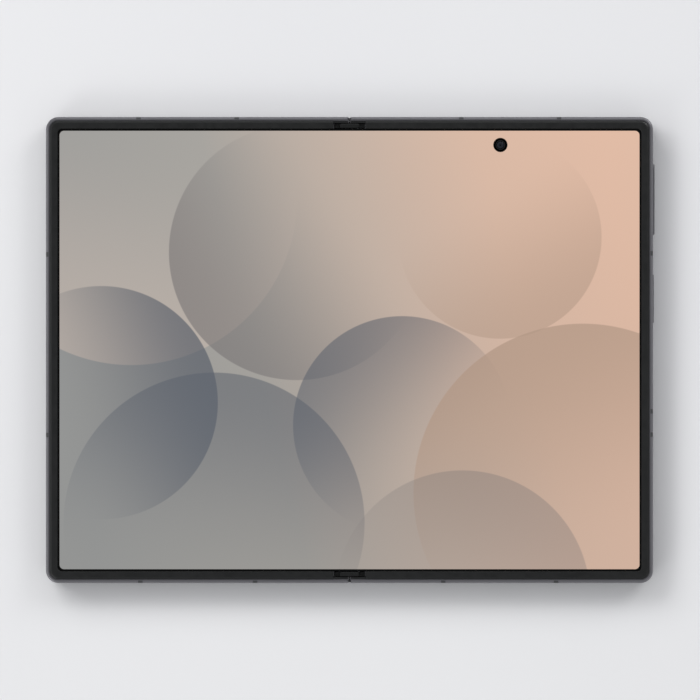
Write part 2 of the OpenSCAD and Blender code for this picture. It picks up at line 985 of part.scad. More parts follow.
module cover_panel() {
    raised() color(dark)
        mirror([1, 0, 0])
            difference() {
                translate([0, 0, glass_t])
                    linear_extrude(panel_t - 0.12)
                        half_plan(cavity_x + 0.2, side_wall + 0.2, 1.6);
                translate([earpiece_x, outer_camera_y, 0])
                    cylinder(h = 3, r = 2.4);
            }
}

earpiece_x = half_w / 2 + 1;
outer_camera_y = half_h - 6.6;

module cover_camera() {
    box = 5.2;
    raised() color(dark)
        mirror([1, 0, 0])
            translate([earpiece_x, outer_camera_y, 0]) {
                translate([0, 0, glass_t])
                    difference() {
                        cylinder(h = 1.2, r = 1.9);
                        translate([0, 0, -0.1])
                            cylinder(h = 0.5, r1 = 1.3, r2 = 0.9);
                    }
                translate([-box / 2, -box / 2, panel_z])
                    cube([box, box, plate_z - panel_z]);
            }
}

module earpiece() {
    raised() color(dark)
        mirror([1, 0, 0])
            slab(earpiece_x + 3.2, earpiece_x + 17, half_h - side_wall - 7, half_h - side_wall - 0.2,
                 panel_z, plate_z);
}

module cover_battery() {
    y0 = foot_bar_y + cell_bar_w / 2 + 0.4;
    y1 = cell_bar_y - cell_bar_w / 2 - 0.4;
    x1 = half_w - tray_depth - 2;
    raised() color([0.2, 0.2, 0.22])
        mirror([1, 0, 0])
            translate([(battery_x0 + x1) / 2, (y0 + y1) / 2, panel_z])
                linear_extrude(plate_z - panel_z)
                    rounded_rect(x1 - battery_x0, y1 - y0, 1);
}

cover_board_y0 = cell_bar_y + cell_bar_w / 2 + 0.5;
cover_board_y1 = outer_camera_y - 3.4;
module cover_board() {
    raised() color([0.06, 0.2, 0.12])
        mirror([1, 0, 0])
            slab(battery_x0, half_w - side_wall - 0.6, cover_board_y0, cover_board_y1,
                 plate_z - 0.5, plate_z);
}

module cover_shields() {
    raised() color(steel)
        mirror([1, 0, 0])
            for (x = [battery_x0 + 3, battery_x0 + 27])
                slab(x, x + 21, cover_board_y0 + 3, cover_board_y1 - 3, panel_z + 0.2, plate_z - 0.5);
}

// ---- Hinge ----

// Outline of the hinge's spine at a radius about both fold axes
module spine_outline(r, top) {
    intersection() {
        union() {
            for (s = [-1, 1])
                translate([s * axis_x, axis_z])
                    circle(r);
            translate([-axis_x, axis_z - r])
                square([2 * axis_x, r]);
        }
        translate([-2 * r - axis_x, axis_z - r - 1])
            square([4 * r + 2 * axis_x, top - axis_z + r + 1]);
    }
}

// Cuts a notch over the spine cover's wall on the +X side between y0 and y1
module wall_notch(y0, y1) {
    low = below_axis(spine_r, notch_angle)[1];
    slab(axis_x + spine_in_r * cos(notch_angle) - 0.6, axis_x + spine_r + 1, y0, y1, low, half_t);
}

station_gap = 0.15;

module spine_cover() {
    end_t = 0.5;
    raised() color(metal)
        difference() {
            along_y(-spine_h, spine_h)
                spine_outline(spine_r, spine_top_z);
            along_y(end_t - spine_h, spine_h - end_t)
                spine_outline(spine_in_r, spine_top_z + 1);
            both_ends() {
                wall_notch(main_slider_y - station_gap, main_slider_y + slider_l + station_gap);
                mirror([1, 0, 0])
                    wall_notch(cover_slider_y - station_gap, cover_slider_y + slider_l + station_gap);
                for (m = [0, 1])
                    mirror([m, 0, 0])
                        wall_notch(knuckle_y - station_gap, arm_y + arm_l + station_gap);
            }
        }
}

// Groove for an arc slider, about the +X fold axis, between y0 and y1
module rail_groove(y0, y1) {
    along_y(y0, y1) {
        arc_piece(rail_in_r - rail_gap, rail_out_r + rail_gap, -20, 158);
        arc_piece(rail_in_r + 0.35, spine_r + 1, -20, notch_angle + 1);
    }
}

module shaft_holes(r, y0, y1) {
    for (x = [-3, -1, 1, 3])
        along_y(y0, y1)
            translate([x * gear_pitch_r, gear_z])
                circle(r);
}

post_w = 0.9;
centre_plate_t = 0.15;
centre_plate_z = wing_top_z - centre_plate_t;
shaft_y0 = block_b_y + 0.6;
shaft_y1 = block_a_y + 0.9;

module hinge_blocks() {
    raised() color(steel)
        both_ends()
            difference() {
                union() {
                    along_y(block_a_y, module_y)
                        union() {
                            spine_outline(block_r, spine_top_z);
                            translate([-post_w / 2, spine_top_z - 0.1])
                                square([post_w, centre_plate_z - spine_top_z + 0.1]);
                        }
                    along_y(block_b_y, block_b_y + block_b_l)
                        union() {
                            spine_outline(block_r, spine_top_z);
                            translate([-post_w / 2, spine_top_z - 0.1])
                                square([post_w, centre_plate_z - spine_top_z + 0.1]);
                        }
                }
                rail_groove(main_slider_y - station_gap, main_slider_y + slider_l + station_gap);
                mirror([1, 0, 0])
                    rail_groove(cover_slider_y - station_gap, cover_slider_y + slider_l + station_gap);
                shaft_holes(shaft_r, shaft_y0, shaft_y1);
            }
}

module gear_shafts() {
    raised() color(steel)
        both_ends()
            shaft_holes(shaft_r, shaft_y0, shaft_y1);
}

// Gear outline: involute flanks on stub teeth, thinned a little for backlash
backlash = 1.4;
flank_steps = 3;
base_r = gear_pitch_r * cos(20);
function involute_angle(r) = r <= base_r ? 0 : tan(acos(base_r / r)) * 180 / PI - acos(base_r / r);
half_tooth = 90 / gear_teeth + involute_angle(gear_pitch_r) - backlash;
function flank_r(i) = base_r + i * (gear_tip_r - base_r) / flank_steps;
function polar(r, a) = [r * cos(a), r * sin(a)];
function tooth(a) = concat(
    [polar(gear_root_r, a - half_tooth)],
    [for (i = [0:flank_steps]) polar(flank_r(i), a - half_tooth + involute_angle(flank_r(i)))],
    [for (i = [flank_steps:-1:0]) polar(flank_r(i), a + half_tooth - involute_angle(flank_r(i)))],
    [polar(gear_root_r, a + half_tooth)]
);

module gear_outline(phase) {
    rotate(phase)
        polygon([for (i = [0:gear_teeth - 1]) each tooth(i * 360 / gear_teeth)]);
}

// One swing arm: a plate that slides in its leaf, a cranked web over the spine's wall, a knuckle with
// three cam lobes on its end, and its gear. Drawn on the +X side
module swing_arm(phase) {
    bore = shaft_r + shaft_gap;
    crank_z = below_axis(spine_r, notch_angle)[1] + 0.12;
    difference() {
        union() {
            along_y(knuckle_y, gear_y + 0.1)
                translate([arm_x, gear_z])
                    circle(knuckle_r);
            along_y(gear_y, gear_y + gear_l)
                translate([arm_x, gear_z])
                    gear_outline(phase);
            along_y(arm_y, arm_y + arm_l)
                polygon([
                    [arm_x, crank_z], [axis_x + spine_r + 0.1, crank_z], [leaf_x, arm_z],
                    [arm_end_x, arm_z], [arm_end_x, arm_z + arm_t], [leaf_x + 0.5, arm_z + arm_t],
                    [axis_x + spine_r - 0.15, crank_z + 0.5], [arm_x, crank_z + 0.5]
                ]);
            for (a = [30, 150, 270])
                cam_lobe(a);
        }
        along_y(knuckle_y - 1, gear_y + gear_l + 1)
            translate([arm_x, gear_z])
                circle(bore);
    }
}

// Lobe of the detent cam on a knuckle's end
module cam_lobe(a) {
    lobe = 0.25;
    spread = 22;
    along_y(knuckle_y - lobe, knuckle_y + 0.1)
        translate([arm_x, gear_z])
            rotate(a)
                polygon([
                    polar(shaft_r, -spread), polar(knuckle_r, -spread),
                    polar(knuckle_r, spread), polar(shaft_r, spread)
                ]);
}

module main_swing_arms() {
    raised() color(steel)
        both_ends()
            swing_arm(0);
}

module cover_swing_arms() {
    raised() color(steel)
        mirror([1, 0, 0])
            both_ends()
                swing_arm(180 / gear_teeth);
}

// Idler gear on the +X side of the hinge line
module idler_gear(phase) {
    along_y(gear_y, gear_y + gear_l)
        translate([gear_pitch_r, gear_z])
            difference() {
                gear_outline(phase);
                circle(shaft_r + shaft_gap);
            }
}

module main_idler_gears() {
    raised() color(steel)
        both_ends()
            idler_gear(180 / gear_teeth);
}

module cover_idler_gears() {
    raised() color(steel)
        mirror([1, 0, 0])
            both_ends()
                idler_gear(0);
}

// The bridges slide on the four shafts, pushed by the springs on to the arms' cam lobes
module cam_bridges() {
    raised() color(steel)
        both_ends()
            along_y(bridge_y, bridge_y + bridge_l)
                difference() {
                    translate([0, gear_z])
                        rounded_rect(2 * (arm_x + 0.75), 1.1, 0.5);
                    for (x = [-3, -1, 1, 3])
                        translate([x * gear_pitch_r, gear_z])
                            circle(shaft_r + shaft_gap);
                }
}

// Coil of round wire along the height: rings of a tube round a helix, with flat closed ends
spring_mean_r = 0.58;
wire_r = 0.12;
wire_sides = 5;
turn_steps = 8;
module coil_spring(x, y0, len) {
    rings = spring_turns * turn_steps;
    rise = len - 2 * wire_r;
    points = [for (i = [0:rings], k = [0:wire_sides - 1])
        let (a = i * 360 / turn_steps, b = k * 360 / wire_sides, r = spring_mean_r + wire_r * cos(b))
            [x + r * cos(a), y0 + wire_r + rise * i / rings + wire_r * sin(b), gear_z + r * sin(a)]];
    sides = [for (i = [0:rings - 1], k = [0:wire_sides - 1])
        let (p = i * wire_sides, q = p + wire_sides, n = (k + 1) % wire_sides)
            each [[p + k, q + k, q + n], [p + k, q + n, p + n]]];
    start = [for (k = [1:wire_sides - 2]) [0, k, k + 1]];
    last = rings * wire_sides;
    finish = [for (k = [1:wire_sides - 2]) [last, last + k + 1, last + k]];
    polyhedron(points, concat(sides, start, finish), convexity = 4);
}

module detent_springs() {
    raised() color(steel)
        for (sx = [-1, 1], sy = [0, 1])
            mirror([0, sy, 0])
                coil_spring(sx * arm_x, spring_y, spring_l);
}

module centre_plate() {
    raised() color(steel)
        slab(-1.1, 1.1, -wing_h, wing_h, centre_plate_z, wing_top_z);
}

// Stepped caps that close the break in the bezel at both ends of the hinge
cap_w = 5.1;
cap_foot_w = 8.2;
cap_foot_t = 0.28;
module hinge_end_caps() {
    r = 0.3;
    y0 = display_h + 0.3;
    raised() color(rim_plastic)
        both_ends()
            translate([0, 0, spine_top_z])
                union() {
                    translate([-cap_foot_w / 2, y0, 0])
                        cube([cap_foot_w, spine_h - y0, cap_foot_t]);
                    translate([-cap_w / 2, y0, 0])
                        cube([cap_w, spine_h - y0, display_top_z - spine_top_z - 0.05]);
                    translate([r - cap_w / 2, y0 + 0.1, 0])
                        cube([cap_w - 2 * r, spine_h - y0 - 0.2, half_t - 0.1 - spine_top_z]);
                }
}

// ---- Leaves and wings, drawn for the +X side ----

// Rail of a leaf in the hinge block's groove, and the web that carries it over the spine's wall
module arc_slider(y0) {
    low = notch_angle - 2;
    top = 14;
    root_r = rail_out_r - 0.15;
    along_y(y0, y0 + slider_l) {
        arc_piece(rail_in_r, rail_out_r, notch_angle - 4, 150);
        polygon([
            below_axis(root_r, low), below_axis(spine_r + 0.3, low),
            [leaf_x + 0.1, leaf_top_z - 0.8], [leaf_x + 0.9, leaf_top_z - 0.8],
            [leaf_x + 0.9, leaf_top_z - 0.1],
            below_axis(spine_r + 0.3, top), below_axis(root_r, top)
        ]);
    }
}

module hinge_leaf(slider_y) {
    gap = 0.1;
    difference() {
        union() {
            along_y(leaf_y0, leaf_y1)
                polygon([
                    [leaf_x, leaf_low_z], [leaf_end_x, leaf_low_z], [leaf_end_x, flange_z],
                    [flange_end_x, flange_z], [flange_end_x, flange_z + flange_t],
                    [flange_x, flange_z + flange_t], [flange_x, leaf_top_z], [leaf_x, leaf_top_z]
                ]);
            arc_slider(slider_y);
        }
        slab(leaf_x - 1, leaf_end_x + 1, arm_y - gap, arm_y + arm_l + gap, 0, arm_z + arm_t + 0.12);
        slab(leaf_x - 1, leaf_x + 0.9, arm_y - gap, arm_y + arm_l + gap, 0, half_t);
        for (y = leaf_screws)
            screw_hole(leaf_screw_x, y, flange_z + flange_t, flange_t + 0.1);
    }
}

module main_hinge_leaves() {
    raised() color(steel)
        both_ends()
            hinge_leaf(main_slider_y);
}

module cover_hinge_leaves() {
    raised() color(steel)
        mirror([1, 0, 0])
            both_ends()
                hinge_leaf(cover_slider_y);
}

module leaf_screws_half() {
    both_ends()
        for (y = leaf_screws)
            screw(leaf_screw_x, y, flange_z + flange_t, leaf_screw_l);
}

module main_screws() {
    raised() color(steel) {
        leaf_screws_half();
        for (p = board_screws)
            mirror([0, 0, 1])
                screw(p[0], p[1], -board_z, board_t);
    }
}

module cover_screws() {
    raised() color(steel)
        mirror([1, 0, 0])
            leaf_screws_half();
}

module wing(slider_y) {
    bore = pin_r + 0.04;
    gap = 0.3;
    difference() {
        union() {
            slab(wing_x, wing_end_x, -wing_h, wing_h, wing_low_z, wing_top_z);
            for (y = pin_stations, s = [-1, 1])
                along_y(s * y - lug_l / 2, s * y + lug_l / 2)
                    union() {
                        translate([pin_x, pin_z])
                            circle(lug_r);
                        translate([pin_x - lug_r, pin_z])
                            square([2 * lug_r - 0.4, wing_low_z - pin_z + 0.1]);
                    }
        }
        both_ends() {
            slab(0, wing_notch_x, slider_y - gap, slider_y + slider_l + gap, 0, half_t);
            slab(0, wing_notch_x, knuckle_y - gap, arm_y + arm_l + gap, 0, half_t);
        }
        along_y(-half_h, half_h)
            translate([pin_x, pin_z])
                circle(bore);
    }
}

module main_wing() {
    raised() color(steel)
        wing(main_slider_y);
}

module cover_wing() {
    raised() color(steel)
        mirror([1, 0, 0])
            wing(cover_slider_y);
}

module wing_pins_half() {
    for (y = pin_stations, s = [-1, 1])
        along_y(s * y - pin_l / 2, s * y + pin_l / 2)
            translate([pin_x, pin_z])
                circle(pin_r);
}

module main_wing_pins() {
    raised() color(steel)
        wing_pins_half();
}

module cover_wing_pins() {
    raised() color(steel)
        mirror([1, 0, 0])
            wing_pins_half();
}

// ---- Inner display ----

module display_half() {
    half_slab(display_x, opening_u + touch, opening_r - touch, ledge_z, display_top_z);
}

module main_display() {
    raised() color([0.75, 0.62, 0.55])
        difference() {
            display_half();
            translate([punch_x, punch_y, 0])
                cylinder(h = half_t + 1, r = punch_d / 2);
        }
}

module cover_display() {
    raised() color([0.58, 0.58, 0.57])
        mirror([1, 0, 0])
            display_half();
}

// The strip that bends when the phone folds
module display_fold() {
    raised() color([0.66, 0.6, 0.56])
        slab(-display_x, display_x, -display_h, display_h, ledge_z, display_top_z);
}

// Two flexible cables that cross the hinge under the wings
module hinge_ribbons() {
    reach = cavity_x + 0.5;
    raised() color([0.75, 0.45, 0.15])
        both_ends()
            slab(-reach, reach, ribbon_y - ribbon_w / 2, ribbon_y + ribbon_w / 2,
                 ribbon_z, ribbon_z + ribbon_t);
}

main_frame();
main_bands();
main_bezel();
main_back_glass();
camera_island();
camera_rings();
camera_glasses();
flash_window();
rear_cameras();
inner_camera();
inner_camera_lens();
main_battery();
main_board();
main_shields();
charging_board();
usb_port();
loudspeaker();
vibration_motor();
charging_coil();
key_switches();
main_magnets();
main_hinge_leaves();
main_wing_pins();
main_screws();
main_display();
volume_key();
side_key();
spine_cover();
hinge_blocks();
gear_shafts();
cam_bridges();
detent_springs();
centre_plate();
hinge_end_caps();
display_fold();
hinge_ribbons();
main_swing_arms();
cover_swing_arms();
main_idler_gears();
cover_idler_gears();
main_wing();
cover_wing();
cover_frame();
cover_bands();
cover_bezel();
cover_glass();
cover_panel();
cover_camera();
earpiece();
cover_battery();
cover_board();
cover_shields();
cover_magnets();
cover_hinge_leaves();
cover_wing_pins();
cover_screws();
cover_display();
sim_tray();
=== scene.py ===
import json
import math

import bmesh
import bpy
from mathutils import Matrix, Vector
from mathutils.geometry import delaunay_2d_cdt


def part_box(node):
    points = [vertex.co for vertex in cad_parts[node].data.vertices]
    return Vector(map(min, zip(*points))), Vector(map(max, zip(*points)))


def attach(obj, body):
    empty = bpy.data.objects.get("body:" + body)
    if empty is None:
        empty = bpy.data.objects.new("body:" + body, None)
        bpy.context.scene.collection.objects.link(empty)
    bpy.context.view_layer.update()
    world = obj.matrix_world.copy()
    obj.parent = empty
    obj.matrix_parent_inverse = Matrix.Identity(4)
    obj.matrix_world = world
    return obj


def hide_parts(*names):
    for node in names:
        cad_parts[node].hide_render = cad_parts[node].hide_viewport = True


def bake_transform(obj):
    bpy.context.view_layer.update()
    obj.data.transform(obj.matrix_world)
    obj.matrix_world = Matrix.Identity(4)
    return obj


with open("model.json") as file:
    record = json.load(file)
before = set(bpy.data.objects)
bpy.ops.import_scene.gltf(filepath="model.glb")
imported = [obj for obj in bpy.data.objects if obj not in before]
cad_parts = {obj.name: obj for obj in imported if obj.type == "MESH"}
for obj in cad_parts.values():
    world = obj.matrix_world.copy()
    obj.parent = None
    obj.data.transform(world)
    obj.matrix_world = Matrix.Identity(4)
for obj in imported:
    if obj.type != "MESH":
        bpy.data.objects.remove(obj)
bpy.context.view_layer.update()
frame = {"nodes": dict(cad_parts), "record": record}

# The foldable smartphone lies open on its back, as the CAD model does: +X is the edge with the keys,
# +Y the top edge, and +Z comes out of the inner display. "Main" is the half with the keys and cameras,
# "cover" the half with the outer display. Lengths are in metres.
MM = 0.001

# ---- Sizes, from the frame ----

frame_lo, frame_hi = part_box("main_frame")
bezel_lo, bezel_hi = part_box("main_bezel")
display_lo, display_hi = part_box("main_display")
HALF_W = frame_hi.x
HALF_H = frame_hi.y
BACK = frame_lo.z                  # the back plane of both halves
STRIP_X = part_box("display_fold")[1].x  # from the hinge line to the ends of the strip that bends
CORNER_R = 3.3 * MM                # outer corners of the body
CORNER_STEPS = 14

MAIN = 1                           # sign of x for the main half
COVER = -1
HALVES = ((MAIN, "main"), (COVER, "cover"))
ENDS = ((1, "top"), (-1, "bottom"))  # signs of y for the two ends of the hinge


# ---- Meshes ----

LEVEL = 0.9999                     # a face whose normal points this far up or down is shaded flat
BEVEL_STEPS = 5


def make(name, verts, faces, materials, angle=35, marks=None):
    """A mesh object with welded points, outward normals and edges that are sharp past an angle.

    materials is one material or several, and marks says which of them each face has.
    """
    mesh = bpy.data.meshes.new(name)
    mesh.from_pydata([tuple(v) for v in verts], [], faces)
    for material in materials if isinstance(materials, (list, tuple)) else [materials]:
        mesh.materials.append(material)
    if marks:
        mesh.polygons.foreach_set("material_index", marks)
    tool = bmesh.new()
    tool.from_mesh(mesh)
    bmesh.ops.remove_doubles(tool, verts=tool.verts, dist=1e-7)
    bmesh.ops.recalc_face_normals(tool, faces=tool.faces)
    tool.to_mesh(mesh)
    tool.free()
    mesh.shade_smooth()
    mesh.set_sharp_from_angle(angle=math.radians(angle))
    for face in mesh.polygons:
        face.use_smooth = abs(face.normal.z) < LEVEL
    obj = bpy.data.objects.new(name, mesh)
    bpy.context.scene.collection.objects.link(obj)
    return obj


def skin(rings, closed=False):
    """Points and faces of a tube through rings of as many points each, filled at its two ends."""
    n = len(rings[0])
    verts = [p for ring in rings for p in ring]
    pairs = list(zip(range(len(rings)), range(1, len(rings))))
    if closed:
        pairs.append((len(rings) - 1, 0))
    faces = [(a * n + k, b * n + k, b * n + (k + 1) % n, a * n + (k + 1) % n)
             for a, b in pairs for k in range(n)]
    if not closed:
        faces += [tuple(range(n)), tuple(range(len(verts) - n, len(verts)))]
    return verts, faces


def grown(loop, reach):
    """A closed outline moved outwards by reach, or inwards where it is negative."""
    around = list(zip(loop[-1:] + loop[:-1], loop, loop[1:] + loop[:1]))
    if sum(a[0] * b[1] - b[0] * a[1] for _, a, b in around) < 0:
        reach = -reach
    points = []
    for before, here, after in around:
        first = (Vector(here) - Vector(before)).normalized()
        second = (Vector(after) - Vector(here)).normalized()
        out = (first + second) / (1 + first.dot(second)) * reach
        points.append((here[0] + out.y, here[1] - out.x))
    return points


def inside(x, y, loops):
    """Whether a point lies within the first outline and outside the others."""
    crossings = 0
    for loop in loops:
        for (ax, ay), (bx, by) in zip(loop, loop[1:] + loop[:1]):
            if (ay > y) != (by > y) and x < ax + (y - ay) * (bx - ax) / (by - ay):
                crossings += 1
    return crossings % 2 == 1


def fill(loops):
    """Triangles over an outline with holes, as indices of the loops' points in turn."""
    # worked out in millimetres, which suit the triangulation's tolerance
    points, edges = [], []
    for loop in loops:
        first = len(points)
        edges += [(first + i, first + (i + 1) % len(loop)) for i in range(len(loop))]
        points += [Vector(p) / MM for p in loop]
    flat, _, faces, origins, _, _ = delaunay_2d_cdt(points, edges, [], 1, 1e-5)
    scaled = [[(x / MM, y / MM) for x, y in loop] for loop in loops]
    kept = []
    for face in faces:
        middle = sum((flat[i] for i in face), Vector((0, 0))) / 3
        if inside(middle.x, middle.y, scaled):
            kept.append(tuple(origins[i][0] for i in face))
    return kept


def plate(name, loops, z0, z1, materials, bevel=0.0, side=MAIN):
    """A plate between two heights with round edges. The first loop is its outline, the others are holes."""
    loops = [[(side * x, y) for x, y in loop] for loop in loops]
    turns = [math.pi / 2 * i / BEVEL_STEPS for i in range(BEVEL_STEPS + 1)]
    edge = [(1 - math.sin(a), 1 - math.cos(a)) for a in turns] if bevel else [(0, 0)]
    rows = [(bevel * inset, z0 + bevel * rise) for inset, rise in edge]
    rows += [(bevel * inset, z1 - bevel * rise) for inset, rise in reversed(edge)]
    verts, faces = [], []
    for inset, z in rows:
        for n, loop in enumerate(loops):
            verts += [(x, y, z) for x, y in grown(loop, inset if n else -inset)]
    total = sum(len(loop) for loop in loops)
    for level in range(len(rows) - 1):
        first = level * total
        for loop in loops:
            for i in range(len(loop)):
                a, b = first + i, first + (i + 1) % len(loop)
                faces.append((a, b, b + total, a + total))
            first += len(loop)
    cap = fill([grown(loop, bevel if n else -bevel) for n, loop in enumerate(loops)])
    top = total * (len(rows) - 1)
    faces += cap + [tuple(top + i for i in face) for face in cap]
    return make(name, verts, faces, materials)


def lathe(name, centre, profile, materials, steps=96):
    """Turns a closed profile of (radius, height) points about an upright axis through centre."""
    rings = []
    for i in range(steps):
        a = math.tau * i / steps
        rings.append([(centre[0] + r * math.cos(a), centre[1] + r * math.sin(a), z) for r, z in profile])
    verts, faces = skin(rings, closed=True)
    return make(name, verts, faces, materials)


def circle(x, y, r, steps=64):
    turns = [math.tau * i / steps for i in range(steps)]
    return [(x + r * math.cos(a), y + r * math.sin(a)) for a in turns]


def arc(x, y, r, start, turn, steps):
    """Points round (x, y), from one direction on through a turn, both in degrees."""
    turns = [math.radians(start + turn * i / steps) for i in range(steps + 1)]
    return [(x + r * math.cos(a), y + r * math.sin(a)) for a in turns]


def oval_y(x, y, width, length, steps=32):
    """Outline of an upright bar with half-round ends."""
    r = width / 2
    reach = length / 2 - r
    return arc(x, y + reach, r, 0, 180, steps) + arc(x, y - reach, r, 180, 180, steps)


def rounded_box(x0, x1, y0, y1, r, steps=8):
    """Outline of a rectangle with round corners."""
    corners = ((x1 - r, y1 - r, 0), (x0 + r, y1 - r, 90), (x0 + r, y0 + r, 180), (x1 - r, y0 + r, 270))
    return [point for x, y, start in corners for point in arc(x, y, r, start, 90, steps)]


def half_outline(x0, x1, h, r, steps=CORNER_STEPS):
    """Outline of one half from (x0, h) clockwise round its two outer corners to (x0, -h)."""
    upper = arc(x1 - r, h - r, r, 90, -90, steps)
    lower = arc(x1 - r, r - h, r, 0, -90, steps)
    return [(x0, h)] + upper + lower + [(x0, -h)]


# ---- Materials ----

def srgb(red, green, blue):
    """A display colour in 0 to 255 as the linear colour that shaders take."""
    def linear(c):
        c /= 255
        return c / 12.92 if c <= 0.04045 else ((c + 0.055) / 1.055) ** 2.4
    return (linear(red), linear(green), linear(blue), 1.0)


class Graph:
    """Short ways to add shader nodes to one material."""

    def __init__(self, name, colour, roughness, metallic=0.0, specular=0.5):
        self.material = bpy.data.materials.new(name)
        self.material.use_nodes = True
        self.tree = self.material.node_tree
        self.shader = self.tree.nodes["Principled BSDF"]
        self.set("Base Color", colour)
        self.set("Roughness", roughness)
        self.set("Metallic", metallic)
        self.set("Specular IOR Level", specular)

    def put(self, socket, value):
        if isinstance(value, bpy.types.NodeSocket):
            self.tree.links.new(value, socket)
        else:
            socket.default_value = value

    def set(self, name, value):
        self.put(self.shader.inputs[name], value)

    def node(self, kind, inputs, output=0, **settings):
        made = self.tree.nodes.new("ShaderNode" + kind)
        for key, value in settings.items():
            setattr(made, key, value)
        for key, value in inputs.items():
            self.put(made.inputs[key], value)
        return made.outputs[output]

    def math(self, operation, a, b=0.0, c=0.0):
        return self.node("Math", {0: a, 1: b, 2: c}, operation=operation)

    def vector(self, operation, a, b=(0, 0, 0), output=0):
        return self.node("VectorMath", {0: a, 1: b}, output, operation=operation)

    def mix(self, factor, a, b):
        return self.node("Mix", {0: factor, 6: a, 7: b}, 2, data_type="RGBA")

    def remap(self, value, low, high, to_low=0.0, to_high=1.0, smooth=False):
        kind = "SMOOTHSTEP" if smooth else "LINEAR"
        ends = {0: value, 1: low, 2: high, 3: to_low, 4: to_high}
        return self.node("MapRange", ends, interpolation_type=kind)

    def place(self):
        return self.node("TexCoord", {}, "Object")

    def noise(self, scale, detail=2.0, rough=0.5, stretch=(1, 1, 1)):
        place = self.vector("MULTIPLY", self.place(), stretch)
        return self.node("TexNoise", {"Vector": place, "Scale": scale, "Detail": detail, "Roughness": rough})

    def bump(self, height, depth):
        """Raises the surface by a height of 0 to 1, which stands for a depth in metres."""
        self.set("Normal", self.node("Bump", {"Height": height, "Distance": depth, "Strength": 1.0}))

    def tint(self, colour, tone):
        """Makes the base colour a colour times a tone."""
        tones = self.node("CombineXYZ", {0: tone, 1: tone, 2: tone})
        self.set("Base Color", self.vector("MULTIPLY", colour[:3], tones))


# In the finishes, a noise's scale is in patches per metre and its values lie round 0.5. remap spreads
# them over the tone or the roughness that they stand for.

def anodised(name, colour, roughness=0.45, grain=0.0012 * MM):
    """Bead-blasted and anodised metal, with fine grain and a slight unevenness of tone."""
    g = Graph(name, colour, roughness, metallic=1.0)
    g.tint(colour, g.remap(g.noise(35, 2), 0.3, 0.7, 0.97, 1.02))
    g.set("Roughness", g.remap(g.noise(4000, 2), 0.35, 0.65, roughness - 0.03, roughness + 0.03))
    g.bump(g.noise(14000, 1), grain)
    return g.material


def moulded(name, colour, roughness=0.55, grain=0.006 * MM, scale=5000, specular=0.4):
    """Moulded plastic with a fine eroded texture."""
    g = Graph(name, colour, roughness, specular=specular)
    g.tint(colour, g.remap(g.noise(120, 3), 0.3, 0.7, 0.9, 1.1))
    g.set("Roughness", g.remap(g.noise(700, 2), 0.35, 0.65, roughness - 0.06, roughness + 0.08))
    g.bump(g.noise(scale, 2), grain)
    return g.material


def turned(name, colour, roughness=0.25):
    """Machined steel with faint tool lines."""
    g = Graph(name, colour, roughness, metallic=1.0)
    lines = (1, 0.1, 1)
    g.set("Roughness", g.remap(g.noise(1500, 3, stretch=lines), 0.3, 0.7, roughness - 0.06, roughness + 0.1))
    g.bump(g.noise(5000, 2, stretch=lines), 0.002 * MM)
    return g.material


def polished(name, colour, roughness=0.05, specular=0.5, wave=0.0):
    """Polished glass or film with an opaque coat behind it, and faint smears in its gloss."""
    g = Graph(name, colour, roughness, specular=specular)
    g.set("Roughness", g.remap(g.noise(45, 4, 0.6), 0.45, 0.75, roughness, roughness + 0.06))
    if wave:
        g.bump(g.noise(70, 1), wave)
    return g.material


def frosted(name, colour):
    """Back glass: finely etched, with a coloured coat behind it that has a soft shimmer."""
    g = Graph(name, colour, 0.34, specular=0.5)
    g.tint(colour, g.remap(g.noise(6000, 2), 0.3, 0.7, 0.88, 1.14))
    g.set("Roughness", g.remap(g.noise(50, 4, 0.6), 0.4, 0.7, 0.30, 0.38))
    g.bump(g.noise(8000, 1), 0.0015 * MM)
    return g.material


FILM_WAVE = 0.01 * MM              # how much the display's film waves
METAL = srgb(132, 131, 135)
BEZEL = srgb(18, 19, 19)
graphite = anodised("graphite_metal", METAL)
ring_metal = turned("ring_metal", srgb(120, 120, 124), 0.22)
bezel_plastic = moulded("bezel_plastic", BEZEL, 0.38, specular=0.45)
cap_plastic = moulded("cap_plastic", srgb(22, 23, 23), 0.45, specular=0.25)
antenna_plastic = moulded("antenna_plastic", srgb(62, 62, 64), 0.5)
# dark plastic of the caps' feet, and of the strips of painted shade in the seam
cap_foot_and_shade_strip_plastic = moulded("cap_foot_and_shade_strip_plastic", srgb(20, 21, 21), 0.6)
back_finish = frosted("back_finish", srgb(66, 69, 76))
outer_gloss = polished("outer_gloss", srgb(8, 8, 9), 0.04)
border_film = polished("border_film", srgb(9, 9, 9), 0.08, specular=0.3, wave=FILM_WAVE)
module_black = moulded("module_black", srgb(16, 16, 17), 0.5)
hinge_steel = turned("hinge_steel", srgb(170, 171, 175), 0.3)
plain_steel = turned("plain_steel", srgb(190, 191, 194), 0.22)
battery_foil = moulded("battery_foil", srgb(48, 48, 50), 0.4, scale=1500)
copper = turned("copper", srgb(205, 132, 84), 0.3)
ribbon_film = moulded("ribbon_film", srgb(190, 118, 40), 0.35)
gold = turned("gold", srgb(222, 182, 96), 0.2)


def board_mask():
    """Solder mask over a pattern of copper tracks."""
    green = srgb(16, 62, 38)
    g = Graph("board", green, 0.3)
    tracks = g.node("TexBrick", {"Vector": g.place(), "Scale": 160.0, "Mortar Size": 0.03}, 1)
    g.set("Base Color", g.mix(tracks, green, srgb(34, 96, 58)))
    g.bump(tracks, 0.02 * MM)
    return g.material


board = board_mask()


# ---- Wallpaper ----

